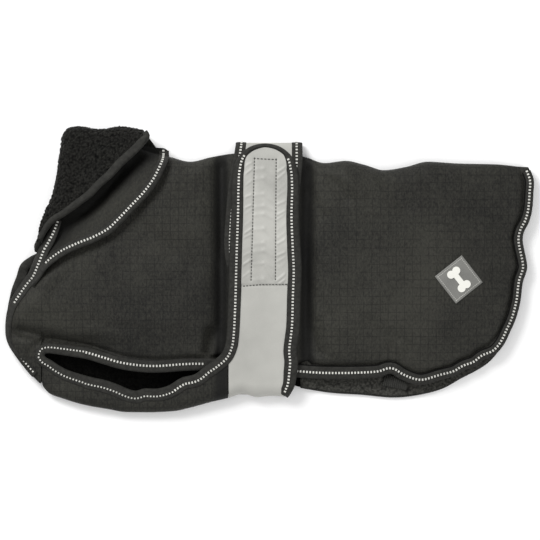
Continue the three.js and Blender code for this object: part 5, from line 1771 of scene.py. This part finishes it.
@dataclass
class Trims:
    """The flank patch with its plain motif, and the folded loop of webbing at the hem.

    Attributes:
        centre, side, turn: place, size and angle of the patch.
        rise, wall: height of its upper face over the coat, and its thickness.
        margin: distance of its stitched border from its edge.
        loop_centre, loop_size, loop_turn, loop_base: place, length and width, angle and height of
            the loop.
    """

    centre: tuple = (211.5, -10.5)
    side: float = 38.6
    turn: float = -0.905
    rise: float = 1.1
    wall: float = 0.9
    margin: float = 2.6
    loop_centre: tuple = (142.0, -126.5)
    loop_size: tuple = (27.0, 13.0)
    loop_turn: float = -0.2
    loop_base: float = 5.8

    def placed(self, a: Array, b: Array) -> Array:
        """Plan points from distances along and across the patch."""
        cos, sin = math.cos(self.turn), math.sin(self.turn)
        x, y = self.centre
        return np.stack([x + a * cos - b * sin, y + a * sin + b * cos], axis=-1)

    def build(self, looks: Palette) -> None:
        """Build the patch, its bone and the loop."""
        s = (even(28) - 0.5) * self.side
        plan = self.placed(s[:, None] + 0 * s[None], 0 * s[:, None] + s[None])
        grid = raised(plan, FORM.coat_top)
        grid[..., 2] += self.rise
        patch = wall_object("flank_patch_cloth", grid, grid - (0, 0, self.wall), [looks.patch])
        register(patch, "patch", "flank_patch")
        register(self.bone(looks), "patch")
        border = Stitches(pitch=2.1, along=1.5, across=0.9, height=0.4)
        register(border.build("patch_stitches", self.border(), looks.patch_thread), "patch")
        register(self.webbing(looks), "webbing", "hem_loop")

    def border(self) -> list:
        """Lines of the patch's stitched border."""
        reach, clear = self.side / 2 - self.margin, 0.15
        corners = [(-reach, -reach), (reach, -reach), (reach, reach), (-reach, reach)]
        lines = []
        for (a, b), (c, d) in zip(corners, corners[1:] + corners[:1]):
            row = self.placed(mix(a, c, even(40)), mix(b, d, even(40)))
            top = FORM.coat_top(row[:, 0], row[:, 1]) + (self.rise + clear)
            lines.append(np.column_stack([row, top]))
        return lines

    def bone(self, looks: Palette) -> bpy.types.Object:
        """A plain dog's bone, raised a little on the patch."""
        reach, spread, lobe, waist = 9.6, 3.7, 4.5, 3.1
        low_face, top_face = 0.9, 1.75
        dip = math.asin((spread - waist) / lobe)
        notch = math.acos(spread / lobe)
        arc = np.linspace(math.pi + dip, -math.pi / 2 + notch, 22)
        upper = [(reach + lobe * math.cos(t), spread + lobe * math.sin(t)) for t in arc]
        right = upper + [(a, -b) for a, b in reversed(upper)]
        ring = right + [(-a, -b) for a, b in right]
        plan = self.placed(*np.array(ring).T)
        z = FORM.coat_top(plan[:, 0], plan[:, 1])
        top = np.column_stack([plan, z + top_face])
        low = np.column_stack([plan, z + low_face])
        n = len(ring)
        faces = [tuple(range(n)), tuple(range(2 * n - 1, n - 1, -1))]
        faces += [(i, (i + 1) % n, n + (i + 1) % n, n + i) for i in range(n)]
        return finish_mesh("bone_motif", np.vstack([top, low]), faces, [looks.motif], flat=True)

    def webbing(self, looks: Palette) -> bpy.types.Object:
        """The loop: ribbed webbing folded once."""
        (x, y), (length, width) = self.loop_centre, self.loop_size
        cos, sin = math.cos(self.loop_turn), math.sin(self.loop_turn)
        rib_height, rib_pitch = 0.22, 2.2
        # Columns: share of the width, height.
        section = ((0.5, 2.5), (-0.38, 2.5), (-0.47, 2.1), (-0.5, 1.2), (-0.47, 0.3), (-0.38, 0.0),
                   (0.5, 0.0))
        rings = []
        for s in np.linspace(-0.5, 0.5, 80):
            rib = rib_height * math.sin(s * length / rib_pitch * 2 * math.pi)
            ring = []
            for t, z in section:
                a, b = s * length, t * width - (0.3 * rib if t < -0.3 else 0)
                up = self.loop_base + z + (rib if z > 1 else 0)
                ring.append((x + a * cos - b * sin, y + a * sin + b * cos, up))
            rings.append(ring)
        return sweep_object("hem_loop_webbing", np.array(rings), [looks.webbing])


@dataclass
class Studio:
    """Pale floor, soft light and the camera straight above.

    Attributes:
        frame_mm: side of the square that the camera sees at the coat's middle height.
        centre: its middle, in millimetres.
        distance: height of the camera, in metres.
        coat_middle: half the coat's height, in metres.
        sensor: width of the camera's sensor, in millimetres.
        daylight: strength of the plain white world.
    """

    frame_mm: float = 604.8
    centre: tuple = (0.56, 0.0)
    distance: float = 1.9
    coat_middle: float = 0.018
    sensor: float = 36.0
    daylight: float = 0.62

    def build(self) -> None:
        """Make the stage."""
        self.floor()
        self.light("key_light", (-0.9, 1.1, 1.2), 0.8, 27.0)
        self.light("fill_light", (1.0, -0.6, 1.4), 1.4, 9.0)
        world = bpy.data.worlds.new("studio")
        bpy.context.scene.world = world
        world.use_nodes = True
        background = world.node_tree.nodes["Background"]
        background.inputs["Color"].default_value = (1.0, 1.0, 1.0, 1.0)
        background.inputs["Strength"].default_value = self.daylight
        bpy.context.scene.view_settings.view_transform = "Standard"
        data = bpy.data.cameras.new("camera")
        data.sensor_width = self.sensor
        data.lens = self.sensor * (self.distance - self.coat_middle) / (self.frame_mm * MM)
        camera = bpy.data.objects.new("camera", data)
        camera.location = (self.centre[0] * MM, self.centre[1] * MM, self.distance)
        bpy.context.scene.collection.objects.link(camera)
        bpy.context.scene.camera = camera

    @staticmethod
    def floor() -> None:
        """A plain pale floor, a hair below the coat."""
        half, drop = 4.0, 0.0002
        corners = [(-half, -half, 0), (half, -half, 0), (half, half, 0), (-half, half, 0)]
        mesh = bpy.data.meshes.new("floor")
        mesh.from_pydata(corners, [], [(0, 1, 2, 3)])
        material = bpy.data.materials.new("pale_floor")
        material.use_nodes = True
        shader = material.node_tree.nodes["Principled BSDF"]
        shader.inputs["Base Color"].default_value = (0.97, 0.97, 0.97, 1.0)
        shader.inputs["Roughness"].default_value = 0.9
        mesh.materials.append(material)
        floor = link(mesh, "floor")
        floor.location.z = -drop

    @staticmethod
    def light(name: str, place: tuple, size: float, power: float) -> None:
        """A soft area light aimed at the coat."""
        data = bpy.data.lights.new(name, "AREA")
        data.size = size
        data.energy = power
        lamp = bpy.data.objects.new(name, data)
        lamp.location = place
        lamp.rotation_euler = (-Vector(place)).to_track_quat("-Z", "Y").to_euler()
        bpy.context.scene.collection.objects.link(lamp)


def main() -> None:
    """Load the frame and dress it; each piece's face count is logged."""
    logging.basicConfig(level=logging.INFO, format="%(message)s")
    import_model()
    Studio().build()
    looks = Palette()
    for part in (Halves(), Chest(), Belt(), Collar(), Edging(), Lining(), Trims()):
        part.build(looks)


if __name__ == "__main__":
    main()
